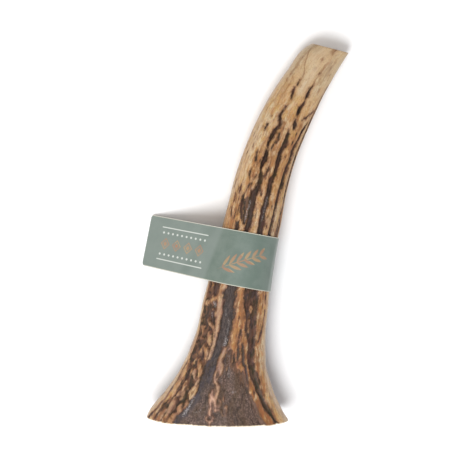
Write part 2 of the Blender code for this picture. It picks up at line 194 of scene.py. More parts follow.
antler = {
    # sections from the base to the tip: x and y of the middle, half width, half height, height of
    # the underside, and turn in degrees
    "sections": (
        (-13.6, -92.3, 35.3, 17.0, -0.8, 1.3),
        (-14.2, -88.3, 33.0, 16.7, -0.5, 0.8),
        (-13.9, -84.8, 30.6, 16.4, -0.1, 0.4),
        (-12.8, -78.7, 26.7, 15.9, 0.5, 0.0),
        (-11.5, -72.7, 23.4, 15.4, 1.0, 0.0),
        (-10.3, -66.7, 21.1, 15.0, 1.4, 0.0),
        (-8.5, -57.7, 18.8, 14.5, 1.8, 0.0),
        (-6.7, -48.7, 17.1, 14.0, 2.2, 2.0),
        (-4.8, -36.7, 16.2, 13.6, 2.5, 5.0),
        (-1.9, -20.9, 14.9, 13.2, 2.6, 10.0),
        (1.3, -5.3, 14.2, 12.8, 2.6, 12.0),
        (4.6, 8.9, 13.9, 12.3, 2.5, 12.0),
        (7.7, 23.4, 13.5, 11.8, 2.2, 14.5),
        (12.2, 37.7, 13.0, 11.2, 1.8, 19.0),
        (18.2, 52.2, 12.6, 10.5, 1.3, 24.0),
        (24.3, 64.6, 12.0, 9.7, 0.8, 28.0),
        (31.1, 76.3, 11.0, 8.9, 0.3, 29.0),
        (40.9, 90.8, 10.2, 8.1, -0.4, 16.2),
        (43.2, 92.9, 9.5, 7.8, -0.5, 14.5),
    ),
    "squareness": 2.25,   # of each section: 2 is an ellipse
    # lean of the sawn faces in degrees, and how far from them the lean dies away
    "baseLean": 10.0, "baseLeanReach": 26.0,
    "tipLean": -6.0, "tipLeanReach": 10.0,
    # noise keeps its size at this half width, and follows the flare by this power elsewhere
    "plainHalfWidth": 16.0, "followFlare": 0.6,
    # points of the mesh, which lie further apart beyond an angle from the crest, in radians
    "rows": 296, "around": 272, "rowCrowding": 1.15,
    "upperSide": 1.6, "undersideShare": 0.6, "angleSteps": 721,
    "farOutside": 6.0,   # how far from a route it is still measured
    # dark fields: how mottled, how grey and how streaky at the top, then distance along
    # and the angles of both edges from the crest, in degrees
    "darkFields": (
        # the main channel
        (0.25, 1.0, 0.0, (
            (72, -20, -3), (66, -20, -3), (63, -25, -1.5), (60, -25, 0), (57.5, -20.5, 0), (52, -19.5, 0.5),
            (48, -19.5, -0.5), (45, -20, 0), (40, -19.5, 0), (36, -20, 0.5), (33, -21, 2), (30, -24, 3),
            (28, -26.5, 3), (24, -26, 2), (20, -25.5, 2), (17, -26, 3), (15, -27, 4), (12, -28.5, 5),
            (10, -30, 6), (7, -33.5, 7), (4, -36, 8), (0, -40, 9))),
        # the grainy field beside it
        (0.6, 0.3, 2.6, (
            (34, 2, 5), (31, 1, 7), (29, 1, 10), (27, 1, 15), (25, 0, 22), (23, 0, 28), (20, 0, 30),
            (15, 2, 31.5), (12, 3, 35), (8, 4, 38.5), (4, 6, 39.5), (0, 7, 41))),
        # the right channel, with its darkest strip
        (0.55, 0.15, 0.0, (
            (72, 9, 36), (65, 8, 37), (59, 11, 39), (54.5, 16, 38), (47.4, 20, 40), (40.5, 26, 41),
            (33.5, 29, 41), (26.7, 31, 43), (23.4, 34, 46), (19.7, 37.5, 47.5), (16, 40.5, 49.5),
            (12.7, 44, 51.5), (9.4, 46, 53.5), (5.7, 49.5, 56), (2.4, 52, 57.5), (0, 54, 58))),
        (0.45, 0.1, 0.0, (
            (72, 29, 38), (65, 30, 39), (59.5, 31, 41), (54.7, 31, 40), (47.4, 32, 42), (40, 33, 43),
            (33, 31, 42), (26.5, 34, 43.5), (23, 38, 45.5), (19, 41, 47), (15.5, 43.5, 49.5),
            (12.2, 47, 52), (9, 49, 54.5), (5.2, 52, 57), (2, 54, 58.5), (0, 55, 58.5))),
        # the left flank, which its islands break up
        (1.0, 0.15, 0.0, (
            (74, -70, -31), (65, -70, -31.5), (61, -69, -34), (58, -68, -34), (55, -68, -29.5),
            (50, -69, -28), (47, -68, -27), (43, -65, -24), (40, -64, -23), (35, -62, -23.5),
            (30, -60, -26), (25, -57, -27), (20, -55, -26), (15, -54, -26), (10, -54, -29),
            (5, -57, -34), (0, -62, -37))),
        # the mottled patch left of the beam's first vein
        (1.0, 0.3, 0.6, (
            (111, -24, -18), (108, -28, -13), (104, -26, -11), (100, -21, -11), (97, -16, -12))),
    ),
    # depth, then distance along, angle from the crest and width of the groove
    "veins": (
        (0.7, ((173.8, -13, 0.5), (172, -12, 0.9), (170.8, -11, 0.4))),
        (1.0, ((169.2, -15, 0.8), (167.5, -13, 1.3), (165.5, -11, 1.4), (163.6, -8, 0.9))),
        (1.2, ((159, -11, 0.8), (157, -12, 1.2), (155, -13.5, 1.6), (153, -12.5, 1.8), (151.5, -9, 1.7),
               (150, -5.5, 1.5), (148.5, -5, 1.5), (147, -7.5, 1.8), (145, -9.5, 2.2), (142.5, -10.5, 2.0),
               (140, -11, 1.7), (138, -10.5, 1.5), (136, -8, 1.4), (134, -7.5, 1.8), (132, -7, 2.2),
               (130, -6.5, 2.3), (128, -7.5, 1.8), (126, -7.5, 1.3), (124.5, -6, 1.1), (123, -3.5, 1.9),
               (120, -3, 1.8), (117, -3.5, 2.0), (115.3, -5, 2.6), (113.5, -8.5, 3.2), (110, -8.7, 3.4),
               (106, -8.5, 3.0), (103, -7, 2.6), (100, -5.3, 2.7), (97, -6.5, 2.5), (94, -7.5, 2.2),
               (88, -8, 3.0), (80, -9, 4.2), (70, -11, 4.4))),
        (0.9, ((117, -21, 0.4), (114, -25, 0.8), (111, -29, 1.4), (108.5, -29, 1.7), (106, -27.5, 1.6),
               (103, -24.5, 1.7), (100.5, -21.5, 1.4), (98.8, -20, 0.7))),
        (0.9, ((98.6, -26, 0.6), (97, -29, 1.6), (95, -28, 2.4), (92, -30, 2.4), (80, -30, 2.0),
               (70, -29, 2.0))),
        (0.5, ((182, 18, 0.4), (181.2, 19, 1.0), (180.4, 18, 0.4))),
        (0.9, ((176, 20, 0.4), (174, 19, 0.6), (172, 16.5, 1.0), (170, 17, 1.6), (168.5, 19, 1.8),
               (167, 17.5, 0.9))),
        (1.0, ((165.5, 19.5, 0.8), (163, 18.5, 1.5), (160.5, 18, 1.8), (158.5, 18.5, 1.3),
               (157, 18.5, 0.6))),
        (1.1, ((155.3, 20, 1.0), (153.5, 22, 1.9), (152, 24, 2.3), (150.6, 25.5, 1.6), (150, 25, 0.6))),
        (1.2, ((148.8, 15, 0.7), (147, 17.5, 1.9), (145, 18, 2.2), (142.5, 20, 2.5), (140.5, 20.5, 2.8),
               (138.5, 18.5, 2.4), (136, 17, 2.3), (133, 18.5, 2.4), (131, 20, 2.4), (129, 20.3, 2.1),
               (126, 21, 1.9), (124, 19.5, 1.9), (122, 16.8, 2.5), (119, 16.5, 2.5), (116, 17.8, 2.2),
               (113, 17.5, 2.4), (111, 17, 2.9), (109.5, 17.5, 3.2), (107.5, 14.5, 2.7), (104, 15, 2.9),
               (100, 16.3, 3.1), (97, 17, 2.8), (94, 17, 2.6), (80, 18, 3.4), (70, 22, 5.0))),
        (0.4, ((163.5, 59, 0.3), (161.5, 53, 0.6), (159.5, 46, 0.8), (157.5, 40, 0.7), (156, 35, 0.3))),
        (0.9, ((157, 60, 0.5), (154, 56, 1.0), (151, 51.5, 1.4), (148, 51, 1.3), (145, 50, 1.5),
               (142, 48, 2.4), (140, 48, 2.6), (137, 49, 1.9), (134, 49.5, 1.8), (131, 49, 2.4),
               (128, 48, 2.6), (125, 47.5, 2.7), (122, 47, 2.7), (119, 45.5, 2.3), (116, 44.5, 2.0),
               (113, 42.5, 1.4), (110, 41.5, 1.5), (106, 41, 1.5), (102, 40, 1.6), (98, 39.5, 1.9),
               (94, 40, 2.3), (80, 42, 2.5), (68, 40, 2.0))),
        # a dark line along the right silhouette: painted shade on the side turned from the light, also cut
        # as a shallow groove
        (0.5, ((178, 74, 0.4), (170, 72, 1.2), (160, 72, 1.8), (150, 73, 1.6), (140, 71, 1.8),
               (128, 73, 1.6), (118, 73, 1.8), (108, 74, 1.4), (96, 72, 1.6), (92, 72, 1.0))),
        (0.5, ((113, 76, 0.5), (107, 66, 0.9), (99, 63, 0.9), (94, 65, 0.9))),
        (0.5, ((134.3, -28, 0.6), (132.5, -27, 1.1), (130, -24.5, 0.8), (128, -22, 0.5))),
        (0.5, ((124.5, -27, 0.6), (122.5, -27, 1.1), (121, -27, 0.6))),
        (0.5, ((147.8, -31, 0.5), (147.2, -31, 0.9), (146.6, -31, 0.4))),
        (0.5, ((145.3, -32, 0.9), (144.3, -32, 0.8))),
        (0.6, ((115.6, -41, 0.5), (113.8, -41, 1.1), (112.3, -42, 0.6))),
        (0.6, ((111.5, -54, 0.9), (109.5, -53, 1.4), (107.6, -52, 1.0))),
        (0.5, ((104.5, -55, 0.5), (102.5, -54, 0.9), (100.5, -50, 0.7))),
        (0.5, ((104.5, -40, 0.6), (102, -40, 1.0), (99, -41, 0.8))),
        (0.5, ((115.3, 2, 0.8), (113.6, 4, 0.8), (112.6, 3, 0.4))),
        (0.5, ((127.4, 5, 0.7), (125, 4, 1.0), (123, 4, 0.8))),
        (0.4, ((145, 1.5, 0.7), (142.5, 3, 0.8), (140, 1.5, 0.5))),
        (0.3, ((30, -65, 0.3), (25, -70, 0.4), (20.5, -66, 0.5), (16.6, -68, 0.6), (13, -69, 0.3))),
        (0.4, ((12.5, -66, 0.4), (8.5, -68, 0.8), (5.2, -69, 1.0), (1.6, -74, 1.0), (0, -76, 1.0))),
        (0.5, ((12.5, -57, 0.6), (8.2, -58.5, 1.0), (4.9, -59, 1.1), (1.6, -62, 0.8))),
        (0.5, ((11, -52, 0.7), (8.5, -51.5, 1.0), (5.5, -48, 1.0))),
        (0.3, ((45.2, 13, 0.7), (43.7, 13, 1.3), (40, 12, 1.0), (38, 11.5, 0.4))),
        (0.3, ((37.6, 12.5, 0.5), (35.9, 13, 1.1), (32.6, 14, 1.2), (29, 14, 0.7))),
        (0.3, ((38.2, 19, 0.5), (36.3, 20, 1.2), (31, 22, 1.2), (27.5, 24, 1.2))),
        (0.3, ((34, 8, 0.4), (31, 8.5, 0.9), (27.5, 9, 0.9))),
        (0.4, ((49.5, 20, 1.2), (46.4, 21, 1.5), (42.5, 24, 1.1))),
        (0.6, ((27, 27, 0.8), (24.5, 28, 1.4), (20, 30, 1.5), (15, 29.5, 1.3), (12, 32, 1.2),
               (8, 34.5, 1.0), (4, 37, 0.8))),
        (0.4, ((24, 46, 0.5), (21.5, 48.5, 1.2), (19, 50.5, 1.0), (17.5, 51, 0.4))),
        (0.2, ((56, 63, 0.3), (50, 62, 0.5), (43.7, 56, 0.6), (39.4, 50, 0.4))),
        (0.3, ((67, 60, 0.5), (63, 61, 0.9), (60, 62, 0.4))),
    ),
    # tan islands and ridges left standing in the dark fields: height, paleness, then the same
    "islands": (
        (0.3, 0.7, ((59.5, -22, 0.7), (57, -24, 1.7), (53, -25.3, 1.9), (50, -23.5, 1.7),
                    (47.5, -22.2, 1.6), (45.8, -25, 1.6), (44.4, -27, 1.5), (42, -25, 1.1),
                    (39.7, -22.7, 1.1), (37.5, -22.3, 1.3), (35, -23.3, 1.6), (33, -22.6, 1.2),
                    (31, -22.5, 0.6))),
        (0.2, 0.2, ((67, -28, 2.8), (63.3, -30, 2.5), (61.6, -32, 2.0), (60.3, -36, 2.0),
                    (59.5, -43, 1.9), (58.2, -50, 2.2), (57.5, -57, 2.4), (57, -68, 3.2))),
        (0.1, 0.6, ((53.2, -32, 0.8), (51.6, -31, 0.9))),
        (0.2, 0.5, ((49.5, -46, 1.4), (48, -42, 1.7), (47.2, -36, 1.5), (45.9, -29, 1.7))),
        (0.2, 0.0, ((46.7, -64, 1.4), (45.6, -55, 2.4), (43.3, -51, 1.6))),
        (0.3, 0.4, ((43.4, -37, 1.4), (41.6, -33.5, 2.8), (39.8, -31, 2.7), (38, -28, 1.2))),
        (0.2, 0.2, ((37.4, -40, 1.5), (35.6, -42, 1.8), (33.8, -44, 1.7))),
        (0.2, 0.3, ((37.4, -40, 1.5), (35.4, -33.5, 1.8), (33.3, -29, 1.8), (31.4, -29, 1.6))),
        (0.2, 0.1, ((30.6, -46, 1.2), (28.7, -48, 1.6))),
        (0.2, 0.6, ((41, -74, 1.6), (37.7, -74, 2.2), (35, -71, 1.8))),
        (0.3, 0.2, ((30, -40, 1.2), (27.5, -35, 2.4), (25.4, -30.5, 2.4), (23.8, -28, 2.4),
                    (22, -28, 1.7))),
        (0.2, 0.6, ((20.5, -27, 1.5), (19, -28, 1.8))),
        (0.3, 0.3, ((17.7, -26, 1.3), (16.4, -31, 1.5), (14.8, -31.5, 1.7), (12.6, -27.5, 1.6))),
        (0.3, 0.1, ((17.5, -25, 1.2), (15, -25, 1.1), (12.5, -27, 1.2))),
        (0.3, 0.3, ((11.3, -30, 1.7), (9.7, -29, 2.3), (8.7, -29, 1.4))),
        (0.3, 0.4, ((9.2, -35, 1.7), (7.9, -36, 2.4), (6.7, -33, 2.8), (5.6, -33, 1.4))),
        (0.2, 0.3, ((5.2, -36, 2.2), (3.8, -38, 3.2), (1.5, -40, 4.0), (0, -40, 4.0))),
        (0.3, 0.8, ((23.8, -38, 1.1), (22, -35, 1.8), (20.7, -33, 1.1))),
        (0.2, 0.4, ((15.8, -41, 1.3), (13.8, -39.5, 2.1), (12.6, -38, 1.3))),
        (0.2, 0.2, ((15, -48, 1.2), (13.6, -48, 1.4))),
        (0.3, 0.6, ((12.2, -50, 1.3), (10, -48, 2.8), (7.4, -46, 3.0), (5.7, -45, 1.8))),
        (0.3, 0.2, ((6.5, -52, 1.8), (3.3, -54, 3.0), (0, -57, 3.0))),
        (0.2, 0.0, ((4, -46, 2.2), (1.6, -47, 2.6), (0, -47, 2.6))),
        (0.2, 0.2, ((19.5, -47, 1.4), (17, -45.5, 1.8), (15.6, -45, 1.1))),
        (0.2, 0.2, ((25.5, -46, 0.8), (23.5, -44, 1.3), (22.3, -43, 0.8))),
        # the pale ridge in the main channel, which parts, joins and ends in small loops
        (0.5, 0.8, ((36.2, -3.6, 1.6), (35, -3.8, 1.8), (33.5, -4.4, 1.8), (30.6, -5.7, 2.2),
                    (27.5, -5.4, 2.4), (26, -5.2, 2.0))),
        (0.4, 0.9, ((26.5, -6.6, 1.2), (25.4, -7.2, 1.1), (23.6, -7.6, 1.0), (21.9, -7.6, 1.0),
                    (20.1, -6.4, 1.3), (18.8, -3.6, 1.2), (17.5, -2.2, 1.6), (15.7, -1.6, 1.3),
                    (14.2, -1.4, 0.9), (12.8, -1.3, 0.5))),
        (0.4, 0.9, ((26.5, -3, 1.4), (25.4, -2.5, 1.1), (23.2, -2.7, 1.0), (21.6, -4.2, 0.9),
                    (20.1, -5.8, 0.8))),
        (0.4, 1.0, ((16.2, -6.2, 1.0), (14.2, -6.9, 1.3), (12.9, -5.2, 1.7), (12.2, -2.8, 1.1),
                    (9.8, -1.3, 1.2), (7.4, -0.6, 0.8))),
        (0.4, 1.0, ((13.2, -6, 1.3), (10.7, -5.2, 1.0), (8.7, -4.4, 1.0), (7, -4.8, 1.1),
                    (5.6, -4.3, 1.0))),
        (0.4, 1.0, ((5.3, -4.2, 0.9), (4.9, -5.8, 0.8), (3.9, -6.6, 0.8), (2.9, -5.9, 0.8),
                    (2.5, -4.3, 0.9), (2.9, -2.6, 0.8), (3.9, -1.8, 0.8), (4.9, -2.6, 0.8),
                    (5.3, -4.2, 0.9))),
        (0.3, 1.0, ((2.5, -4.3, 1.0), (1.2, -4.5, 1.0), (0, -4.5, 1.0))),
        (0.2, 0.8, ((7.8, 0.2, 0.4), (7.6, 2.6, 0.5), (6.1, 3.8, 0.4), (5, 5, 0.6), (5.7, 6.6, 0.5),
                    (7.9, 7.3, 0.4), (9, 6.4, 0.3), (8.6, 5, 0.3))),
        (0.1, 0.7, ((12.2, 0.6, 0.3), (10.4, 2.6, 0.4), (8.8, 1.2, 0.4))),
        # patches in the right channel
        (0.1, 0.1, ((57.7, 26, 1.0), (56.1, 27, 1.6), (54.3, 27, 1.0))),
        (0.1, 0.0, ((50.5, 26, 0.7), (46.4, 27, 0.9), (43.6, 28, 0.7))),
        (0.1, 0.2, ((37.4, 26, 0.7), (35.5, 27, 0.9), (33.5, 28, 0.7))),
    ),
    # hairline cracks: strength, then the same
    "cracks": (
        (0.7, ((193.5, -47, 0.3), (190, -38, 0.4), (186.3, -30, 0.5), (182, -24, 0.5), (178, -13, 0.4),
               (175.5, -11, 0.6), (173, -12, 0.7))),
        (0.5, ((187.5, 22, 0.3), (184, 20.5, 0.5), (181.3, 19, 1.0), (179, 18.5, 0.5), (175.6, 18, 0.6),
               (173, 17, 0.6))),
        (0.6, ((188.6, 3.2, 0.7), (188.1, 5.5, 0.7))),
        (0.4, ((170, -45, 0.3), (164, -47, 0.5), (158, -44, 0.3))),
        (0.4, ((60, 72, 0.3), (48, 70, 0.5), (38, 72, 0.3))),
    ),
    # pale zones, mostly painted sheen where the light wraps round the silhouettes, and two on the tip's
    # crest that just make it paler: strength, then the same
    "fades": (
        # painted sheen of light along the silhouettes, at about 80 degrees either side of the crest
        (0.7, ((68, 82, 4.0), (56, 82, 5.0), (44, 82, 6.0), (32, 82, 6.0), (20, 81, 6.5), (8, 80, 7.0),
               (0, 80, 7.0))),
        (0.6, ((66, -82, 3.0), (50, -82, 4.0), (35, -80, 5.0), (20, -80, 5.0), (8, -82, 5.0),
               (0, -84, 4.0))),
        (0.6, ((198, -76, 5.0), (180, -78, 6.0), (160, -80, 7.0), (140, -82, 6.0), (110, -82, 5.0))),
        (0.35, ((182, 2, 2.0), (176, 4, 3.0), (168, 3, 2.0))),
        (0.2, ((196, -12, 4.0), (190, -8, 6.0), (184, -4, 4.0))),
        (0.4, ((148, -52, 3.0), (138, -56, 7.0), (122, -60, 8.0), (112, -66, 5.0))),
    ),
    # brown tints on the surface: strength, then the same
    "stains": (
        (0.8, ((163, -9, 1.2), (160.5, -8, 1.6), (158.5, -10, 1.0))),
        (0.9, ((157.2, 18.5, 1.4), (155.5, 19.5, 2.2))),
        (0.5, ((166, -27, 1.5), (164, -28, 2.0))),
        (0.8, ((153, 0, 0.6), (149.5, 3, 1.0), (145, 1.5, 1.4), (141, 2.5, 1.2))),
        (0.7, ((137, 2, 1.4), (133.5, 4, 2.2), (130, 3, 1.2))),
        (0.9, ((128, 5, 1.4), (125, 4, 2.2), (122.5, 4, 1.2))),
        (0.6, ((139, -20, 1.2), (136, -19, 2.0), (133, -20, 1.5))),
        (0.8, ((128, -17, 2.0), (124, -16, 2.8), (121, -16, 2.4))),
        (0.7, ((121, -22, 1.5), (117, -20, 3.2), (113, -19, 3.2), (106, -18, 2.4), (101, -16, 1.2))),
        (0.5, ((114, -43, 2.4), (110, -40, 4.0), (106, -38, 3.2), (101, -40, 4.0), (95, -42, 4.5))),
        (0.6, ((155, 38, 1.5), (148, 39, 2.0), (143, 41, 2.2), (137, 42, 2.0), (131, 41, 1.4))),
        (0.4, ((190, 30, 3.5), (184, 36, 5.0), (178, 33, 3.5))),
        (0.8, ((197, 14, 2.6), (194, 15, 2.0), (193, 17, 1.0))),
        (1.0, ((188.9, 4, 0.7), (187.8, 4, 0.8))),
        (0.7, ((182.9, 2, 0.6), (182, 2, 0.7))),
        (0.7, ((174.8, 41, 1.0), (173, 42, 1.3))),
        (0.9, ((163.5, 59, 1.2), (161.5, 53, 1.8), (159.5, 46, 2.2), (157.5, 40, 2.0), (156, 35, 1.0))),
        (0.4, ((196, -50, 1.6), (190, -44, 1.8), (184, -34, 1.4), (180, -26, 0.8))),
        (0.5, ((189, -50, 1.0), (182, -43, 1.6), (176, -45, 2.6), (171, -45, 2.4))),
        (0.4, ((173, -33, 1.4), (168, -32, 1.6), (158, -31, 1.4), (152, -33, 2.0))),
        (0.5, ((186, 20, 0.8), (183, 20, 1.0))),
        (0.4, ((179, 15, 0.8), (177.6, 15, 1.2), (176.6, 16, 0.8))),
        (0.6, ((101, 52, 1.4), (96, 56, 3.0), (92, 58, 3.0))),
        (0.5, ((112, 22, 1.0), (106, 24, 1.4), (98, 27, 2.0))),
        (0.9, ((52, 9, 1.2), (47, 12, 2.4), (43, 14, 3.6), (38, 14, 4.4), (33, 14, 5.8), (28, 17, 6.5),
               (25, 19, 6.0))),
        (0.8, ((40, 20, 1.6), (34, 22, 2.6), (28, 23, 3.0), (25, 25, 2.0))),
        (0.5, ((60, 6, 1.4), (54, 10, 2.0), (51, 14, 2.5))),
        (0.35, ((70, -50, 12.0), (60, -48, 12.0), (50, -46, 11.0), (40, -44, 10.0), (30, -44, 9.0),
               (20, -42, 8.0), (12, -44, 8.0), (0, -48, 9.0))),
        (0.8, ((17.5, -31, 1.0), (14.8, -31, 1.6), (12.5, -32, 1.2))),
        (0.7, ((14, -45, 5.0), (8, -48, 8.0), (0, -54, 10.0))),
        (1.0, ((37, 28, 1.5), (30, 30, 1.8), (24, 31, 1.4))),
        (1.0, ((31, 18, 4.0), (27, 22, 5.0), (24, 25, 4.0))),
        (0.9, ((14, 36, 1.0), (11.5, 37, 1.8), (8.3, 39, 2.2), (5, 41.5, 2.2), (2, 43, 1.6))),
        (0.4, ((66, 50, 4.0), (50, 52, 4.0), (35, 50, 4.0))),
        (0.7, ((68, 22, 4.0), (60, 24, 4.0), (50, 25, 3.0), (40, 28, 3.0), (32, 29, 2.0))),
        (0.6, ((56, 62, 1.2), (50, 61, 1.8), (43, 55, 1.8), (38, 50, 1.2))),
        (0.5, ((32, 47, 1.6), (26, 50, 2.6), (21, 54, 2.4))),
        (1.0, ((28, 41, 2.4), (21, 42, 4.4), (14, 46, 6.4), (9, 49, 6.6), (4, 53, 5.0), (0, 55, 3.4))),
        (1.0, ((23, 32, 0.8), (20, 34, 1.4), (14, 38, 2.6), (8, 40, 3.6), (3, 43, 4.6), (0, 44, 5.0))),
        (0.5, ((70, 44, 2.0), (66, 46, 3.0), (62, 56, 3.0))),
        (0.2, ((20, 62, 0.6), (14, 66, 1.0), (6, 72, 1.0), (0, 78, 1.0))),
        (0.5, ((30, -62, 1.6), (20, -60, 2.4), (10, -62, 3.0), (0, -68, 3.5))),
    ),
    # zones with an ochre glow: strength, then the same
    "ochres": (
        (1.0, ((23, 32, 1.4), (20, 34, 2.4), (16, 36, 3.4), (12.7, 39, 4.2), (9.5, 41, 4.6), (5.9, 44, 5.4),
               (2.6, 46, 6.0), (0, 47, 6.4))),
        (0.8, ((66, 4, 2.4), (60, 5, 3.2), (54, 7, 4.2), (49, 9, 5.4), (44, 11, 6.0), (38, 14, 7.0),
               (32, 15, 7.0), (26, 18, 5.0))),
        (0.8, ((30, -40, 2.0), (27, -34, 3.4), (23, -28, 2.8))),
        (0.9, ((25, 41, 2.0), (16, 45, 3.4), (9, 50, 3.6), (3, 55, 3.2))),
        (0.8, ((68, 48, 4.0), (58, 50, 3.0), (46, 50, 3.0), (36, 48, 2.6), (26, 50, 3.0), (16, 57, 3.4))),
        (0.5, ((12, -30, 2.4), (6, -34, 4.0), (0, -42, 6.0))),
        (0.5, ((57, -60, 2.4), (46, -58, 4.0), (42, -52, 2.4))),
        (0.6, ((156, 8, 2.0), (148, 5, 3.0), (138, 5, 4.0), (128, 6, 3.4), (118, 6, 3.0), (108, 4, 2.6))),
        (0.5, ((154, 34, 2.6), (146, 34, 4.0), (134, 34, 4.4), (122, 32, 4.0), (108, 29, 4.0))),
        (0.6, ((130, -20, 4.0), (118, -18, 4.0), (110, -17, 3.0), (100, -15, 2.0))),
        (0.5, ((108, -48, 6.0), (98, -50, 8.0), (90, -50, 8.0))),
    ),
    # where warm bone shows through the grain: strength, then the same
    "warmths": (
        (1.0, ((38, 8, 3.0), (34, 12, 6.0), (30, 16, 8.0), (27, 18, 6.0))),
        (0.6, ((27, 18, 6.0), (24, 20, 5.0), (20, 24, 3.0))),
        (0.6, ((30, 28, 2.0), (22, 31, 2.0), (14, 34, 2.4), (6, 38, 2.6), (0, 40, 3.0))),
        (0.3, ((16, 20, 1.0), (9, 22, 1.4), (0, 23, 1.6))),
        (0.5, ((2.5, 12, 1.0), (0, 12, 2.0))),
    ),
    # the darkest patches of the left flank: strength, then the same
    "pits": (
        (1.0, ((65, -47, 2.0), (62.5, -45, 2.6), (60.8, -44, 1.8))),
        (0.9, ((56.5, -56, 1.5), (54.4, -54, 2.4), (50, -53, 2.4), (46.5, -53, 1.6))),
        (1.0, ((55, -40, 1.6), (52, -38, 2.6), (49, -36, 2.8), (47.6, -35, 1.8))),
        (0.9, ((50, -30, 1.0), (48.3, -27, 1.4), (46.8, -28, 1.0))),
        (1.0, ((46.6, -36, 1.4), (44.5, -35, 2.4), (42.8, -34, 1.6))),
        (1.0, ((34.8, -36, 1.4), (32.8, -34, 2.4), (31, -36, 1.8))),
        (0.9, ((31.5, -42, 1.6), (29, -42, 2.4), (27, -40, 1.8))),
        (1.0, ((26.5, -40, 1.6), (24.3, -38, 2.8), (21.5, -38, 1.8))),
        (1.0, ((19.5, -39, 1.4), (16.8, -36, 2.8), (14.2, -34, 2.0))),
        (1.0, ((13, -39, 1.6), (11.2, -38, 2.8), (9.2, -40, 1.6))),
        (1.0, ((8.4, -38, 1.4), (6.6, -38, 2.6), (5, -41, 1.8))),
        (0.6, ((42, -48, 1.4), (37.6, -45, 2.2), (35, -44, 1.4))),
        (0.6, ((29, -51, 1.2), (24, -50, 1.6), (18, -47, 1.8), (14, -49, 1.2))),
    ),
    # pale grey marks: scuffs, painted glints where the bone's gloss caught the light, and a painted pale rim
    # along the right silhouette: strength, then the same
    "scuffs": (
        (0.5, ((50.3, -7, 0.4), (48.4, -5, 0.5), (46, -5.6, 0.5), (43.4, -4.4, 0.6))),
        (0.7, ((42, -5.5, 0.6), (40.4, -4.5, 1.0), (38, -5, 1.1), (37, -6, 0.5))),
        (0.4, ((55, -14, 0.5), (52, -12, 0.5))),
        (0.4, ((7.4, -18.5, 0.3), (5.7, -17.5, 0.4), (6.7, -16.3, 0.4), (5.9, -14.7, 0.4),
               (7.4, -13, 0.3))),
        # painted glint of light on the bone's gloss
        (1.0, ((57.6, -41, 1.0), (56.7, -37, 1.3))),
        (0.5, ((52.6, -41, 0.8), (51, -39, 0.8))),
        # painted glint of light on the bone's gloss
        (1.0, ((115.6, -15, 0.5), (115.2, -13, 0.4))),
        (1.0, ((15.2, 12, 0.5), (15.4, 15, 0.5))),
        (0.6, ((109, -12, 0.6), (104, -14, 0.8), (99, -14, 0.8))),
        (0.4, ((113, 18, 0.6), (107, 17, 0.8), (101, 16, 0.8))),
        (0.25, ((32.5, 2.4, 0.8), (29, 3.5, 1.2), (24.9, 5, 1.0), (22, 6.5, 0.6))),
        (0.7, ((13, -24, 0.8), (9, -25, 1.6), (5, -27, 1.6))),
        # a painted pale rim of light along the right silhouette
        (0.4, ((70, 76, 0.8), (50, 77, 0.9), (30, 76, 0.9), (16, 76, 0.9), (4, 74, 0.9))),
    ),
    # how far each tint's edge wanders, and how far inside its edge it starts and is full
    "tintEdges": {
        "stains": (1.5, -0.9, 0.8), "ochres": (2.0, -1.4, 1.0), "warmths": (2.0, -3.0, 1.0),
        "pits": (1.4, -0.8, 0.6), "fades": (1.5, -1.5, 1.5), "cracks": (0.35, -0.3, 0.1),
        "scuffs": (1.0, -0.4, 0.4),
    },
    # the grainy part of the dark fields: distance along, left and right angle
    "grainy": (
        (34, 1, 6), (30, 0, 8), (27, -5, 16), (25, -8, 23), (22, -11, 29), (18, -14, 31),
        (15, -15, 33.5), (12, -17, 36), (8, -21, 39), (5, -24, 39.5), (2, -29, 40), (0, -33, 40)),
    # smooth noises: size across, up and along the antler in mm, and an offset
    "noises": {
        "coarse": ((3.0, 3.0, 5.0), 3.7), "fine": ((1.1, 1.1, 1.7), 9.1),
        "streaks": ((1.3, 1.3, 9.0), 2.4), "gaps": ((6.0, 6.0, 26.0), 21.0),
        "crumbs": ((1.8, 1.8, 2.8), 15.0), "dashes": ((0.8, 0.8, 3.4), 8.8),
        "swells": ((9.0, 9.0, 24.0), 0.0), "lumps": ((3.4, 3.4, 7.0), 0.0),
        "thinFibres": ((0.8, 0.8, 7.0), 1.5), "wideFibres": ((1.9, 1.9, 14.0), 6.5),
    },
    # cells, with the same values, and how far the coarse and the fine noise bend them
    "cells": {"beads": ((2.6, 2.6, 6.0), 0.0), "grains": ((1.0, 1.0, 1.6), 4.0)},
    "cellBend": (0.8, -0.8, 1.6),
    # heights of the relief all over the antler, and of the lumps that reach some way from the base
    "swellHeights": {"swells": 0.3, "thinFibres": 0.05, "wideFibres": 0.09},
    "lumpHeight": 0.56, "lumpReach": 62.0,
    # below, "wander" is how far the coarse and the fine noise move an edge, and most pairs say where
    # a change starts and is full: in mm inside an edge, or along the antler where the name says so
    "field": {
        "wander": (0.5, 0.4), "depth": 0.9, "wall": (-0.2, 1.1), "tone": (-1.0, 0.5),
        "streaksAlong": (17.0, 25.0), "beamGrey": 0.4, "beamGreyAlong": (124.0, 96.0),
    },
    "flank": {
        "angles": (78.0, 125.0), "angleWander": 20.0, "endAlong": (55.0, 85.0),
        "gap": 0.3, "gapSpread": 0.4, "steepness": 2.4, "depth": 0.7, "wall": (-0.3, 0.8),
    },
    "island": {
        "wanderShare": 0.8, "wall": (-0.2, 0.8), "glow": (-1.8, -0.5), "foot": (-0.7, 0.3),
        "core": (0.3, 0.9), "coreLeft": (0.2, 0.4), "coreStain": 0.7,   # left of the crest, in radians
    },
    "crumb": {"rarity": 0.47, "steepness": 2.4, "hold": 3.0, "mottling": (0.85, 0.98)},
    "vein": {"wander": (0.28, 0.26), "calmer": 0.5, "hiddenAngles": (80.0, 95.0), "wall": (-0.2, 0.9)},
    "dash": {
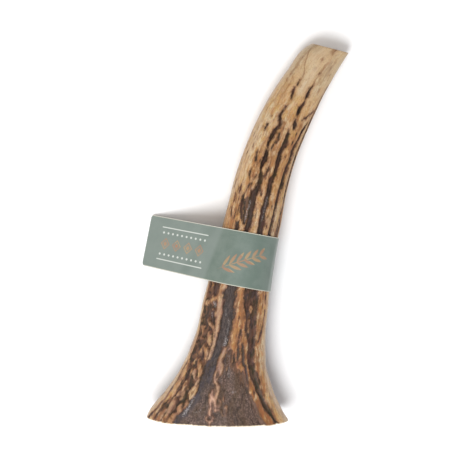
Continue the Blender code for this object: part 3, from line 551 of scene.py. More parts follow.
        "rarity": 0.62, "inStain": 0.42, "steepness": 1.7, "depth": 0.3, "wall": (-0.1, 0.5),
        # how much rarer towards the tip and the base, and where along that starts and is full
        "rarerAlong": ((0.7, 145.0, 172.0), (0.5, 84.0, 62.0)),
    },
    "grain": {
        "wanderShare": 2.0, "edge": (-1.5, 2.0), "offIsland": (-0.1, 0.3), "inVein": (-0.3, 0.5),
        "lostInVein": 0.8, "gap": (0.0, 0.45), "height": 0.26, "inDark": (0.0, 0.8), "inDarkShare": 0.6,
    },
    "pitCalm": 0.85,   # how much less mottled the darkest patches are
    "crackDepth": 0.15,
    "highestUnderBand": 0.15, "underBand": (60.0, 100.0),
    # veins of the hidden sides: angle of each, and how they run from a share of the length to the base
    "sideVein": {
        "angles": (104, 122, 141, 160, 180, 201, 221, 240), "depth": 0.9, "step": 9.0,
        "start": 0.62, "startSpread": 0.3,
        "thin": 0.9, "widening": 3.2, "taper": 1.5, "least": 0.3,
        "drift": 10.0, "driftLength": 23.0, "driftOffset": 5.3,
        "swell": 0.9, "swellLength": 11.0, "swellOffset": 7.1,
    },
    # the sawn faces: rings of points, size of the pores and width of the dense rim
    "sawnBase": (44, 1.5, 5.0), "sawnTip": (14, 1.1, 3.2),
    # the rims, and the size, offset and edge of the noise that chips the base's
    "rim": {"round": 0.4, "drop": 0.22, "chip": 0.25, "chips": (4.0, 12.0), "chipEdge": (0.0, 0.5)},
    "sawn": {
        # two noises that make the dense rim wander: size, offset and how far
        "wander": ((5.0, 2.2, 1.2), (1.6, 7.7, 0.5)), "coreEdge": (-0.8, 1.2),
        "poreOffset": 1.0, "poreWall": (0.15, 0.5), "openAbove": 0.5, "poreDepth": 0.6,
        "wideSize": 2.3, "wideOffset": 8.0, "wideWall": (0.4, 0.8), "wideDepth": 0.8,
        "cut": 0.02, "sawDepth": 0.03, "sawTurns": 2.4, "sawBend": 2.0, "sawBendSize": 9.0,
    },
}

table = np.array(antler["sections"])
knots = np.concatenate([[0.0], np.cumsum(np.hypot(*np.diff(table[:, :2], axis=0).T))])
antlerLength = float(knots[-1])


def curveThrough(values, places):
    # a smooth curve through one column of the sections
    slopes = np.gradient(values, knots)
    left = np.clip(np.searchsorted(knots, places, side="right") - 1, 0, len(knots) - 2)
    span = knots[left + 1] - knots[left]
    t = (places - knots[left]) / span
    fromLeft = (1 + 2 * t) * (1 - t) ** 2 * values[left] + t * (1 - t) ** 2 * span * slopes[left]
    fromRight = t * t * (3 - 2 * t) * values[left + 1] + t * t * (t - 1) * span * slopes[left + 1]
    return fromLeft + fromRight


def sectionsAt(along):
    # middle, directions to the side and up, half width and half height of each section
    x, y, halfWidth, halfHeight, underside, turn = (curveThrough(column, along) for column in table.T)
    turn = np.radians(turn)
    lean = np.radians(antler["baseLean"]) * (1 - eased(along, 0.0, antler["baseLeanReach"]))
    tipStart = antlerLength - antler["tipLeanReach"]
    lean = lean - np.radians(antler["tipLean"]) * eased(along, tipStart, antlerLength)
    level = np.zeros_like(turn)
    side = np.stack([np.cos(turn), -np.sin(turn), level], axis=-1)
    ahead = np.stack([np.sin(turn), np.cos(turn), level], axis=-1)
    up = np.array([0.0, 0.0, 1.0]) * np.cos(lean)[..., None] - ahead * np.sin(lean)[..., None]
    middle = np.stack([x, y, underside + halfHeight], axis=-1)
    return middle, side, up, halfWidth, halfHeight


def outline(angle, halfWidth, halfHeight, lift):
    # to the side and up from the section's middle, at an angle from its crest and lifted off it
    power = 2.0 / antler["squareness"]
    sine, cosine = np.sin(angle), np.cos(angle)
    size = np.hypot(sine * halfHeight, cosine * halfWidth)
    toSide = halfWidth * np.sign(sine) * np.abs(sine) ** power
    toTop = halfHeight * np.sign(cosine) * np.abs(cosine) ** power
    return toSide + lift * sine * halfHeight / size, toTop + lift * cosine * halfWidth / size


def evenAngles(rows, count):
    # angles that space the points evenly round each section, but further apart underneath
    dense = np.linspace(-np.pi, np.pi, antler["angleSteps"])
    weight = np.where(np.abs(dense[1:]) < antler["upperSide"], 1.0, antler["undersideShare"])
    shares = np.linspace(0.0, 1.0, count, endpoint=False)
    angles = np.empty((len(rows), count))
    _, _, _, halfWidths, halfHeights = sectionsAt(rows)
    for row, (halfWidth, halfHeight) in enumerate(zip(halfWidths, halfHeights)):
        toSide, toTop = outline(dense, halfWidth, halfHeight, 0.0)
        run = np.concatenate([[0.0], np.cumsum(np.hypot(np.diff(toSide), np.diff(toTop)) * weight)])
        angles[row] = np.interp(shares, run / run[-1], dense)
    return angles


def sideVeins():
    # wavering veins that widen towards the base, each a depth and a route
    shape = antler["sideVein"]
    routes = []
    for index, angle in enumerate(shape["angles"]):
        spread = shape["startSpread"] * noise.cell(Vector((index, 1.0, 0.0)))
        start = antlerLength * (shape["start"] + spread)
        driftPlace, swellPlace = shape["driftOffset"] * index, shape["swellOffset"] * index
        route = []
        for along in np.arange(start, 0.0, -shape["step"]):
            drift = noise.noise(Vector((along / shape["driftLength"], driftPlace, 0.0)))
            swell = noise.noise(Vector((along / shape["swellLength"], swellPlace, 4.0)))
            widening = shape["widening"] * (1 - along / antlerLength) ** shape["taper"]
            width = (shape["thin"] + widening) * (1.0 + shape["swell"] * swell)
            route.append((along, angle + shape["drift"] * drift, max(width, shape["least"])))
        routes.append((shape["depth"], (*route, (0.0, *route[-1][1:]))))
    return routes


class Surface:
    # the antler's side, as arrays with a value for each point
    def __init__(self, along, angle):
        self.along, self.angle = along, angle
        _, _, _, halfWidth, halfHeight = sectionsAt(along)
        self.radius = np.hypot(halfWidth * np.cos(angle), halfHeight * np.sin(angle))
        # the point's place on a straight antler, where noise isn't stretched by the bend or the flare
        toSide, toTop = outline(angle, halfWidth, halfHeight, 0.0)
        narrow = (antler["plainHalfWidth"] / halfWidth) ** antler["followFlare"]
        self.straight = np.stack([toSide * narrow, toTop * narrow, along], axis=-1)
        self.noises = {name: noiseAt(self.straight, *place) for name, place in antler["noises"].items()}
        self.nearBase = 1 - eased(along, 0.0, antler["lumpReach"])
        # how far inside a dark hollow each point lies, in mm, and how deep the hollow is there
        self.dark, self.floor = self.filled(-antler["farOutside"]), self.filled(0.0)

    def filled(self, value):
        return np.full_like(self.along, value)

    def wander(self, shares):
        # how far noise moves an edge
        coarse, fine = shares
        return coarse * self.noises["coarse"] + fine * self.noises["fine"]

    def cells(self, name):
        # the gap between bent cells, and a number for each cell
        bend = np.stack([self.noises[kind] for kind in ("coarse", "coarse", "fine")], axis=-1)
        return cellsAt(self.straight + bend * antler["cellBend"], *antler["cells"][name])

    def sink(self, inside, depth, wall):
        # one more dark hollow
        self.dark = np.maximum(self.dark, inside)
        self.floor = np.maximum(self.floor, depth * eased(inside, *wall))

    def insideRoute(self, route):
        # how far inside a groove, island or tint a point lies, in mm
        inside = self.filled(-antler["farOutside"])
        for (start, startTurn, startWidth), (end, endTurn, endWidth) in zip(route, route[1:]):
            reach = (min(start, end) - antler["farOutside"], max(start, end) + antler["farOutside"])
            near = slice(*np.searchsorted(self.along[:, 0], reach))
            off = (self.angle[near] - np.radians(startTurn) + np.pi) % (2 * np.pi) - np.pi
            ahead, across = self.along[near] - start, off * self.radius[near]
            run, rise = end - start, np.radians(endTurn - startTurn) * self.radius[near]
            share = np.clip((ahead * run + across * rise) / (run ** 2 + rise ** 2), 0.0, 1.0)
            gap = np.hypot(ahead - share * run, across - share * rise)
            half = (startWidth + (endWidth - startWidth) * share) / 2
            inside[near] = np.maximum(inside[near], half - gap)
        return inside

    def insideField(self, edges):
        # how far inside a field a point lies, in mm
        places, lefts, rights = np.array(edges[::-1], dtype=float).T
        left = np.radians(np.interp(self.along, places, lefts))
        right = np.radians(np.interp(self.along, places, rights))
        inside = np.minimum(self.angle - left, right - self.angle) * self.radius
        if places[0] > 0.0:
            inside = np.minimum(inside, self.along - places[0])
        return np.minimum(inside, places[-1] - self.along)


def sinkFields(surface):
    # the broad dark fields, and how mottled and how grey each point is
    field = antler["field"]
    mottle = surface.filled(0.0)
    grey = field["beamGrey"] * eased(surface.along, *field["beamGreyAlong"])
    streaks = surface.noises["streaks"] * eased(surface.along, *field["streaksAlong"])
    wander = surface.wander(field["wander"])
    for mottling, greyness, streakiness, edges in antler["darkFields"]:
        inside = surface.insideField(edges) + wander + streakiness * streaks
        surface.sink(inside, field["depth"], field["wall"])
        here = eased(inside, *field["tone"])
        mottle = mottle + (mottling - mottle) * here
        grey = grey + (greyness - grey) * here
    return mottle, grey


def crackFlanks(surface):
    # the beaded skin low on both sides of the base: its dark gaps, and a tone for each bead
    flank = antler["flank"]
    turned = np.abs(np.degrees(surface.angle)) + flank["angleWander"] * surface.noises["coarse"]
    onFlank = eased(turned, *flank["angles"]) * (1 - eased(surface.along, *flank["endAlong"]))
    gap, bead = surface.cells("beads")
    inside = flank["gap"] + flank["gapSpread"] * surface.noises["gaps"] - gap - (1 - onFlank)
    surface.sink(inside * flank["steepness"], flank["depth"], flank["wall"])
    return bead * onFlank


def raiseIslands(surface, mottle):
    # islands and ridges that stand in the dark fields, with crumbs where these are mottled
    shape, crumb = antler["island"], antler["crumb"]
    island, pale, raised = surface.filled(-antler["farOutside"]), surface.filled(0.0), surface.filled(0.0)
    wander = shape["wanderShare"] * surface.wander(antler["vein"]["wander"])
    for height, paleness, route in antler["islands"]:
        inside = surface.insideRoute(route) + wander
        raised = np.maximum(raised, height * eased(inside, *shape["wall"]))
        pale = np.maximum(pale, paleness * eased(inside, *shape["glow"]))
        island = np.maximum(island, inside)
    core = eased(island, *shape["core"]) * (1 - pale) * eased(-surface.angle, *shape["coreLeft"])
    crumbs = (surface.noises["crumbs"] - crumb["rarity"]) * crumb["steepness"]
    crumbs = crumbs - crumb["hold"] * (1 - eased(mottle, *crumb["mottling"]))
    island = np.maximum(island, crumbs)
    surface.dark = np.minimum(surface.dark, -island)
    surface.floor = surface.floor * (1 - eased(island, *shape["foot"]))
    return island, pale, core, raised


def cutVeins(surface):
    # the narrow grooves; their edges wander more on the hidden sides
    vein = antler["vein"]
    hidden = eased(np.abs(np.degrees(surface.angle)), *vein["hiddenAngles"])
    wander = surface.wander(vein["wander"]) * (vein["calmer"] + (1 - vein["calmer"]) * hidden)
    inVein = surface.filled(-antler["farOutside"])
    for depth, route in (*antler["veins"], *sideVeins()):
        inside = surface.insideRoute(route) + wander
        inVein = np.maximum(inVein, inside)
        surface.sink(inside, depth, vein["wall"])
    return inVein


def tintMarks(surface):
    # how strong each tint is at each point
    wander = surface.wander(antler["vein"]["wander"])
    tints = {}
    for name, (wobble, low, high) in antler["tintEdges"].items():
        tints[name] = surface.filled(0.0)
        for strength, route in antler[name]:
            inside = surface.insideRoute(route) + wobble * wander
            tints[name] = np.maximum(tints[name], strength * eased(inside, low, high))
    return tints


def sinkDashes(surface, stains):
    # short dark dashes along the beam, more of them in stains
    dash = antler["dash"]
    inside = surface.noises["dashes"] - dash["rarity"] + dash["inStain"] * stains
    inside = inside * dash["steepness"]
    for less, start, full in dash["rarerAlong"]:
        inside = inside - less * eased(surface.along, start, full)
    surface.sink(inside, dash["depth"], dash["wall"])


def growGrain(surface, island, inVein):
    # the grainy field at the base, and the height of its grains
    grain = antler["grain"]
    wander = grain["wanderShare"] * surface.wander(antler["field"]["wander"])
    inside = surface.insideField(antler["grainy"]) + wander
    grainy = eased(inside, *grain["edge"]) * eased(-island, *grain["offIsland"])
    grainy = grainy * (1 - grain["lostInVein"] * eased(inVein, *grain["inVein"]))
    inDark = eased(surface.dark, *grain["inDark"]) * surface.nearBase
    gap, _ = surface.cells("grains")
    share = np.maximum(grainy, grain["inDarkShare"] * inDark)
    return grainy, (eased(gap, *grain["gap"]) - 0.5) * grain["height"] * share


def antlerRelief(surface):
    # the height of each point over its plain section, and the marks that the finish reads
    mottle, grey = sinkFields(surface)
    beadTone = crackFlanks(surface)
    island, pale, core, raised = raiseIslands(surface, mottle)
    inVein = cutVeins(surface)
    tints = tintMarks(surface)
    sinkDashes(surface, tints["stains"])
    grainy, grains = growGrain(surface, island, inVein)

    height = raised - surface.floor + grains - antler["crackDepth"] * tints["cracks"]
    height = height + antler["lumpHeight"] * surface.nearBase * surface.noises["lumps"]
    for name, most in antler["swellHeights"].items():
        height = height + most * surface.noises[name]
    low, high = antler["underBand"]
    underBand = (surface.along >= low) & (surface.along <= high)
    height = np.where(underBand, np.minimum(height, antler["highestUnderBand"]), height)
    marks = {
        "dark": surface.dark, "pale": pale, "grey": grey, "grainy": grainy, "beadTone": beadTone,
        "stain": np.maximum(tints["stains"], antler["island"]["coreStain"] * core),
        "ochre": np.maximum(tints["ochres"], core), "warm": tints["warmths"],
        "fade": tints["fades"], "crack": tints["cracks"], "scuff": tints["scuffs"],
        "mottle": mottle * (1 - antler["pitCalm"] * tints["pits"]), "fromBase": surface.along,
    }
    return height, marks


def antlerPoints(along, angle, lift):
    # points lifted off their plain section, and none of them below the table
    middle, side, up, halfWidth, halfHeight = sectionsAt(along)
    toSide, toTop = outline(angle, halfWidth, halfHeight, lift)
    points = middle + side * toSide[..., None] + up * toTop[..., None]
    points[..., 2] = np.maximum(points[..., 2], 0.0)
    return points


def sawnFace(rim, straightRim, outward, rings, poreSize, boneWidth):
    # rings of points from a sawn rim to its middle, with the pores of the spongy core sunk in
    sawn = antler["sawn"]
    shares = np.linspace(0.0, 1.0, rings + 1)[1:-1, None, None]
    centre, straightCentre = rim.mean(axis=0), straightRim.mean(axis=0)
    points = rim + (centre - rim) * shares
    straight = straightRim + (straightCentre - straightRim) * shares
    fromRim = np.linalg.norm(points - rim, axis=-1)
    for size, offset, most in sawn["wander"]:
        fromRim = fromRim + most * noiseAt(straight, size, offset)
    low, high = sawn["coreEdge"]
    core = eased(fromRim, boneWidth + low, boneWidth + high)
    gap, name = cellsAt(straight, poreSize, sawn["poreOffset"])
    wideGap, _ = cellsAt(straight, poreSize * sawn["wideSize"], sawn["wideOffset"])
    hole = eased(gap, *sawn["poreWall"]) * (name > sawn["openAbove"])
    hole = np.maximum(hole, sawn["wideDepth"] * eased(wideGap, *sawn["wideWall"]))
    bend = sawn["sawBend"] * noiseAt(straight, sawn["sawBendSize"])
    saw = sawn["sawDepth"] * np.sin(straight[..., 0] * sawn["sawTurns"] + bend)
    depth = sawn["poreDepth"] * core * hole + sawn["cut"] + saw
    return points - outward * depth[..., None], straight, centre, straightCentre, core, hole * core


def newPiece(name, points, faces, materials, faceSlots):
    # points are in mm; each face has the slot of its material
    mesh = bpy.data.meshes.new(name)
    mesh.from_pydata((points * mm).tolist(), [], faces)
    for material in materials:
        mesh.materials.append(material)
    mesh.polygons.foreach_set("material_index", faceSlots)
    mesh.shade_smooth()
    piece = bpy.data.objects.new(name, mesh)
    scene.collection.objects.link(piece)
    return piece


def store(piece, name, values):
    # a value, or a place, for each point; points past the end of the values get 0
    values = np.asarray(values, dtype=np.float32)
    kind, field = ("FLOAT_VECTOR", "vector") if values.ndim == 2 else ("FLOAT", "value")
    full = np.zeros((len(piece.data.vertices), *values.shape[1:]), dtype=np.float32)
    full[:len(values)] = values
    attribute = piece.data.attributes.new(name, kind, "POINT")
    attribute.data.foreach_set(field, full.ravel())


def gridFaces(rings, count, flip, start=0):
    # four-sided faces between closed rings of points
    ring, step = np.meshgrid(np.arange(rings - 1), np.arange(count), indexing="ij")
    here = start + ring * count + step
    beside = start + ring * count + (step + 1) % count
    corners = (here, beside, beside + count, here + count)
    return np.stack(corners[::-1] if flip else corners, axis=-1).reshape(-1, 4)


# finishes of the antler

boneFinish = {
    "tints": {
        "pale": tint(220, 202, 166),
        "tan": tint(212, 176, 128),
        "yellow": tint(204, 170, 104),
        "orange": tint(208, 150, 92),
        "pink": tint(212, 168, 138),
        "tip": tint(200, 179, 147),
        "paleAndSheenTint": tint(222, 204, 178),
        "ochre": tint(166, 110, 58),
        "rust": tint(164, 94, 58),
        "brown": tint(120, 78, 48),
        "rose": tint(130, 90, 66),
        "fringe": tint(104, 66, 44),
        "fringeRose": tint(124, 80, 66),
        "vein": tint(42, 26, 16),
        "veinBrown": tint(80, 52, 38),
        "veinOlive": tint(62, 52, 28),
        "veinPurple": tint(76, 56, 54),
        "veinRed": tint(88, 48, 36),
        "channel": tint(50, 43, 42),
        "channelLight": tint(88, 76, 72),
        "channelBrown": tint(62, 48, 38),
        "channelBlue": tint(68, 64, 74),
        "grain": tint(86, 69, 59),
        "grainLight": tint(134, 109, 99),
        "grainBrown": tint(82, 62, 40),
        "ridge": tint(160, 128, 115),
        "ridgeLight": tint(200, 158, 138),
        "crack": tint(136, 98, 64),
        "scuff": tint(178, 170, 168),
        "streak": tint(126, 82, 58),
        "speck": tint(128, 104, 66),
        "cream": tint(236, 218, 186),
    },
    # smooth noises: waves to a mm across, up and along the antler, detail, roughness, and for some
    # an offset
    "noises": {
        "clouds": ((0.16, 0.16, 0.05), 3.0, 0.5),
        "hueA": ((0.55, 0.55, 0.24), 3.0, 0.55),
        "hueB": ((0.7, 0.7, 0.28), 3.0, 0.55, (37.0, 11.0, 5.0)),
        "hueC": ((0.42, 0.42, 0.18), 3.0, 0.5, (13.0, 43.0, 29.0)),
        "blots": ((0.62, 0.62, 0.3), 3.0, 0.55, (5.0, 71.0, 3.0)),
        "fibres": ((1.9, 1.9, 0.5), 3.0, 0.6),
        "specks": ((1.5, 1.5, 1.0), 3.0, 0.65),
        "grit": ((2.6, 2.6, 2.0), 2.0, 0.6),
        "streaks": ((0.75, 0.75, 0.1), 3.0, 0.5, (19.0, 2.0, 61.0)),
        "columns": ((0.42, 0.42, 0.06), 3.0, 0.6),
        "strands": ((1.0, 1.0, 0.09), 2.0, 0.5, (3.0, 9.0, 1.0)),
    },
    # where the value that places a tint, or a patch of one, starts to show it and shows it in full
    "spreads": {
        "lower": (125.0, 60.0), "tipward": (155.0, 185.0),
        "tan": (0.36, 0.6), "yellow": (0.46, 0.62), "orange": (0.46, 0.62), "pink": (0.46, 0.34),
        "mottled": (0.45, 0.6), "ochre": (0.82, 1.08), "rust": (0.52, 0.64), "streak": (0.48, 0.66),
        "stained": (0.42, 0.58), "brown": (0.57, 0.7), "speck": (0.51, 0.61), "paleAndSheenSpread": (0.4, 0.55),
        "ridgeLight": (0.85, 1.0), "ridged": (0.4, 0.6),
        "glow": (-2.4, -0.2), "fringe": (-1.1, 0.2), "fringeRose": (0.44, 0.56),
        "veinBrown": (0.66, 0.9), "veinOlive": (0.5, 0.6), "veinPurple": (0.53, 0.42),
        "veinRed": (0.52, 0.62), "rose": (0.94, 1.08),
        "channel": (-0.2, 0.8), "channelLight": (1.0, 1.24), "channelBrown": (0.48, 0.6),
        "channelBlue": (0.44, 0.56), "channelBlueAlong": (45.0, 22.0),
        "grainLight": (0.82, 1.1), "grainBrown": (0.45, 0.62), "vein": (1.0, 0.8),
        "warmBrown": (0.2, 1.1), "warmOchre": (0.95, 1.4),
        "crack": (0.3, 0.55), "scuff": (0.42, 0.6), "cream": (0.6, 0.2), "gloss": (-0.3, 0.2),
    },
    "marks": ("dark", "pale", "stain", "ochre", "warm", "fade", "crack", "scuff", "grainy",
              "mottle", "grey", "beadTone", "fromBase"),
    "specular": 0.3, "roughness": 0.5, "bumpHeight": 0.0002, "bumpStrength": 0.9,
}


def laid(f, color, name, placing, strength):
    # a tint over a colour, where the value that places it is high enough
    shown = placing.between(*boneFinish["spreads"][name])
    return f.mix(shown * strength, color, boneFinish["tints"][name])


def soundBone(f, at):
    # tan bone, with its stains, flecks, pale zones that paint the sheen at its edges, and pale ridges
    tints, spreads = boneFinish["tints"], boneFinish["spreads"]
    tan = f.mix(at.clouds.between(*spreads["tan"]), tints["pale"], tints["tan"])
    tan = laid(f, tan, "yellow", at.hueA, 0.75 - 0.3 * at.tipward)
    tan = laid(f, tan, "orange", at.hueB, 0.5 + 0.3 * at.lower - 0.2 * at.tipward)
    tan = laid(f, tan, "pink", at.hueB, 0.5 + 0.2 * at.lower)
    tan = f.mix(at.tipward * 0.55, tan, tints["tip"])
    tan = f.mix(at.mottle * (0.2 + 0.5 * at.hueC.between(*spreads["mottled"])), tan, tints["yellow"])
    tan = laid(f, tan, "ochre", at.hueA + at.blots, at.ochre)
    tan = laid(f, tan, "rust", at.hueB, at.ochre * 0.6 + at.stain * 0.4)
    tan = laid(f, tan, "streak", at.streaks, 0.14 + 0.45 * at.lower)
    stained = (at.blots * 0.5 + at.streaks * 0.5).between(*spreads["stained"])
    tan = f.mix(at.stain * (0.2 + 0.6 * stained), tan, tints["brown"])
    flecks = at.fibres + 0.1 * at.stain - 0.05 * at.pale
    tan = laid(f, tan, "brown", flecks, 0.45 - 0.2 * at.tipward - 0.2 * at.lower)
    tan = laid(f, tan, "speck", at.specks * 0.4 + at.grit * 0.6, 0.45)
    tan = f.mix(at.beadTone * 0.35, tan, tints["brown"])
    # paler towards the silhouettes as painted sheen where the light wraps round the edges, and paler on the
    # tip's crest
    tan = f.mix(at.fade * (0.5 + 0.5 * at.blots.between(*spreads["paleAndSheenSpread"])), tan, tints["paleAndSheenTint"])
    ridge = f.mix(at.pale.between(*spreads["ridgeLight"]), tints["ridge"], tints["ridgeLight"])
    return f.mix(at.pale * (0.7 + 0.3 * at.blots.between(*spreads["ridged"])), tan, ridge)


def veinFringe(f, at, tan):
    # the browner bone beside the dark hollows
    tints, spreads = boneFinish["tints"], boneFinish["spreads"]
    glow = at.ragged.between(*spreads["glow"]) * (0.35 - 0.2 * at.tipward - 0.3 * at.pale)
    brown = f.mix(glow, tan, tints["ochre"])
    fringe = f.mix(at.hueC.between(*spreads["fringeRose"]), tints["fringe"], tints["fringeRose"])
    shown = at.ragged.between(*spreads["fringe"]) * (0.48 + 0.34 * at.lower - 0.4 * at.pale)
    return f.mix(shown, brown, fringe)


def grainyBone(f, at):
    # the grainy field at the base, with warm bone showing through
    tints, spreads = boneFinish["tints"], boneFinish["spreads"]
    light = (at.grit + at.specks * 0.8).between(*spreads["grainLight"])
    grain = f.mix(light, tints["grain"], tints["grainLight"])
    grain = laid(f, grain, "grainBrown", at.columns + 0.08 * at.warm, 0.6)
    grain = laid(f, grain, "vein", at.fibres + at.blots, 0.7)
    shown = at.warm * (at.strands * 1.4 + at.blots * 0.6 + (at.specks - 0.5) * 0.6)
    grain = f.mix(shown.between(*spreads["warmBrown"]) * 0.7, grain, tints["brown"])
    return f.mix(shown.between(*spreads["warmOchre"]) * 0.5, grain, tints["ochre"])


def darkBone(f, at):
    # the dark hollows: veins from brown to purple, the grey channel and the grainy field
    tints, spreads = boneFinish["tints"], boneFinish["spreads"]
    brownness = (at.hueB + at.specks * 0.5).between(*spreads["veinBrown"])
    deep = f.mix(brownness, tints["vein"], tints["veinBrown"])
    deep = laid(f, deep, "veinOlive", at.hueA, 0.6)
    deep = laid(f, deep, "veinPurple", at.hueA, 0.1 + 0.8 * at.lower)
    deep = laid(f, deep, "veinRed", at.hueC, 0.3 + 0.3 * at.lower)
    deep = f.mix(at.ochre * 0.6 + at.mottle * 0.3, deep, tints["veinOlive"])
    deep = f.mix(at.mottle * (at.blots + at.hueB).between(*spreads["rose"]) * 0.6, deep, tints["rose"])

    light = (at.fibres + at.grit * 0.6 + at.blots * 0.6).between(*spreads["channelLight"])
    channel = f.mix(light, tints["channel"], tints["channelLight"])
    channel = laid(f, channel, "channelBrown", at.hueC, 0.5)
    blue = at.hueB.between(*spreads["channelBlue"]) * at.fromBase.between(*spreads["channelBlueAlong"])
    channel = f.mix(blue * 0.6, channel, tints["channelBlue"])
    inChannel = (at.dark + (at.specks - 0.5) * 3.0).between(*spreads["channel"])
    deep = f.mix(at.grey * inChannel * 0.9, deep, channel)
    return f.mix(at.grainy * 0.85, deep, grainyBone(f, at))


def makeBoneFinish():
    f = Finish("antlerSurface")
    straight = f.stored("straight", "Vector")
    # every mark and noise at a point of the bone, by name
    at = SimpleNamespace(**{name: f.stored(name) for name in boneFinish["marks"]})
    for name, shape in boneFinish["noises"].items():
        setattr(at, name, f.blur(straight, *shape))
    tints, spreads = boneFinish["tints"], boneFinish["spreads"]
    at.lower = at.fromBase.between(*spreads["lower"])
    at.tipward = at.fromBase.between(*spreads["tipward"])
    # how far inside a dark hollow, with a ragged edge that is more so where the bone is mottled
    ragged = at.dark + (at.blots - 0.5) * 2.2 + (at.specks - 0.5) * 1.2 + (at.grit - 0.5) * 0.5
    mottling = (at.hueA - 0.5) * 3.2 + (at.fibres - 0.5) * 0.7
    at.ragged = ragged + (at.mottle + 0.2 * at.pale) * mottling

    inDark = at.ragged.between(-0.4 - 0.4 * at.pale, 0.5 + 0.2 * at.pale)
    color = f.mix(inDark, veinFringe(f, at, soundBone(f, at)), darkBone(f, at))
    color = f.mix(at.crack * (0.5 + 0.5 * at.specks.between(*spreads["crack"])), color, tints["crack"])
    # pale grey scuffs, with painted glints and a painted rim of light along the right side
    color = laid(f, color, "scuff", at.grit, at.scuff)
    sawnEdge = (at.fromBase + (at.specks - 0.5) * 1.6).between(*spreads["cream"])
    f.feed("Base Color", f.mix(sawnEdge, color, tints["cream"]))
    f.feed("Specular IOR Level", boneFinish["specular"])
    duller = 0.12 * at.ragged.between(*spreads["gloss"]) + 0.1 * (at.hueA - 0.5)
    f.feed("Roughness", boneFinish["roughness"] + duller)
    relief = at.fibres * 0.35 + at.specks * 0.6 + at.grit * 0.4
    f.bump(relief, boneFinish["bumpHeight"], boneFinish["bumpStrength"])
    return f.material


sawnFinish = {
    "bone": tint(236, 222, 196), "boneDeep": tint(214, 192, 156), "boneSpread": (0.45, 0.8),
    "sponge": tint(196, 168, 130), "spongeDeep": tint(152, 118, 86), "spongeSpread": (0.55, 0.85),
    "pore": tint(78, 52, 36), "poreStrength": 0.9,
    # smooth noises: waves to a mm across, up and along, detail and roughness
    "cloud": ((0.25, 0.25, 0.25), 4.0, 0.6), "specks": ((2.4, 2.4, 2.4), 3.0, 0.6),
    "saw": ((7.0, 0.35, 1.0), 2.0, 0.5),
    "bend": ((0.9, 0.9, 0.9), 2.0, 0.5), "bendReach": (0.7, 0.7, 0.7),
    # pores of three sizes: cells to a mm, least and most reach, strength
    "pores": ((1.15, 0.12, 0.34, 0.9), (2.1, 0.16, 0.36, 0.8), (3.6, 0.2, 0.4, 0.6)),
    "patch": ((0.35, 0.35, 0.35), 2.0, 0.5), "patchStep": 9.0, "patchStrength": 0.5,
    "roughness": 0.58, "bumpHeight": 0.0002, "bumpStrength": 0.8,
}


def makeSawnFinish():
    look = sawnFinish
    f = Finish("sawnBone")
    straight = f.stored("straight", "Vector")
    core, hole = f.stored("core"), f.stored("hole")
    cloud, specks, saw = (f.blur(straight, *look[name]) for name in ("cloud", "specks", "saw"))
    bent = f.shifted(straight, f.scaled(f.blur(straight, *look["bend"]), look["bendReach"]))
    bone = f.mix((cloud + 0.3 * saw).between(*look["boneSpread"]), look["bone"], look["boneDeep"])
    spongy = (cloud + 0.4 * specks).between(*look["spongeSpread"])
    color = f.mix(core, bone, f.mix(spongy, look["sponge"], look["spongeDeep"]))
    pores = hole
    for scale, least, most, strength in look["pores"]:
        cell = f.add("ShaderNodeTexVoronoi", {"feature": "F1"}, {"Vector": bent, "Scale": scale}, "Distance")
        patch = f.blur(straight, *look["patch"], (scale * look["patchStep"], 3.0, 7.0))
        size = cell + (0.5 - patch) * look["patchStrength"]
        pores = pores.most(size.between(most, least) * strength * core)
    f.feed("Base Color", f.mix(pores * look["poreStrength"], color, look["pore"]))
    f.feed("Roughness", look["roughness"] + 0.15 * pores)
    f.bump(specks * 0.3 + saw * 0.4 - pores * 1.5, look["bumpHeight"], look["bumpStrength"])
    return f.material


def antlerGrid():
    # distance along and angle of each point of the side, in rows that lie closer near the base
    rim, count = antler["rim"]["round"], antler["around"]
    shares = np.linspace(0.0, 1.0, antler["rows"] - 2) ** antler["rowCrowding"]
    rows = np.concatenate([[0.0], rim + (antlerLength - 2 * rim) * shares, [antlerLength]])
    return np.repeat(rows[:, None], count, axis=1), evenAngles(rows, count)


def roundRims(lift, straight):
    # both sawn rims lie a little lower than the side beside them, and the base's is chipped
    rim = antler["rim"]
    chips = eased(noiseAt(straight[0], *rim["chips"]), *rim["chipEdge"])
    lift[0] = lift[1] - rim["drop"] - rim["chip"] * chips
    lift[-1] = lift[-2] - rim["drop"]


def capFaces(rimStart, start, rings, count, turn):
    # faces from a rim to the innermost of its rings, then the triangles round the middle; turn is 1
    # or -1, for the way they face
    step = np.arange(count)
    beside = (step + 1) % count
    first = np.stack([rimStart + step, rimStart + beside, start + beside, start + step], axis=-1)
    last, middle = start + (rings - 1) * count, start + rings * count
    pairs = zip((last + step).tolist(), (last + beside).tolist())
    closing = [(here, there, middle)[::turn] for here, there in pairs]
    return [first[:, ::turn], gridFaces(rings, count, turn < 0, start)], closing


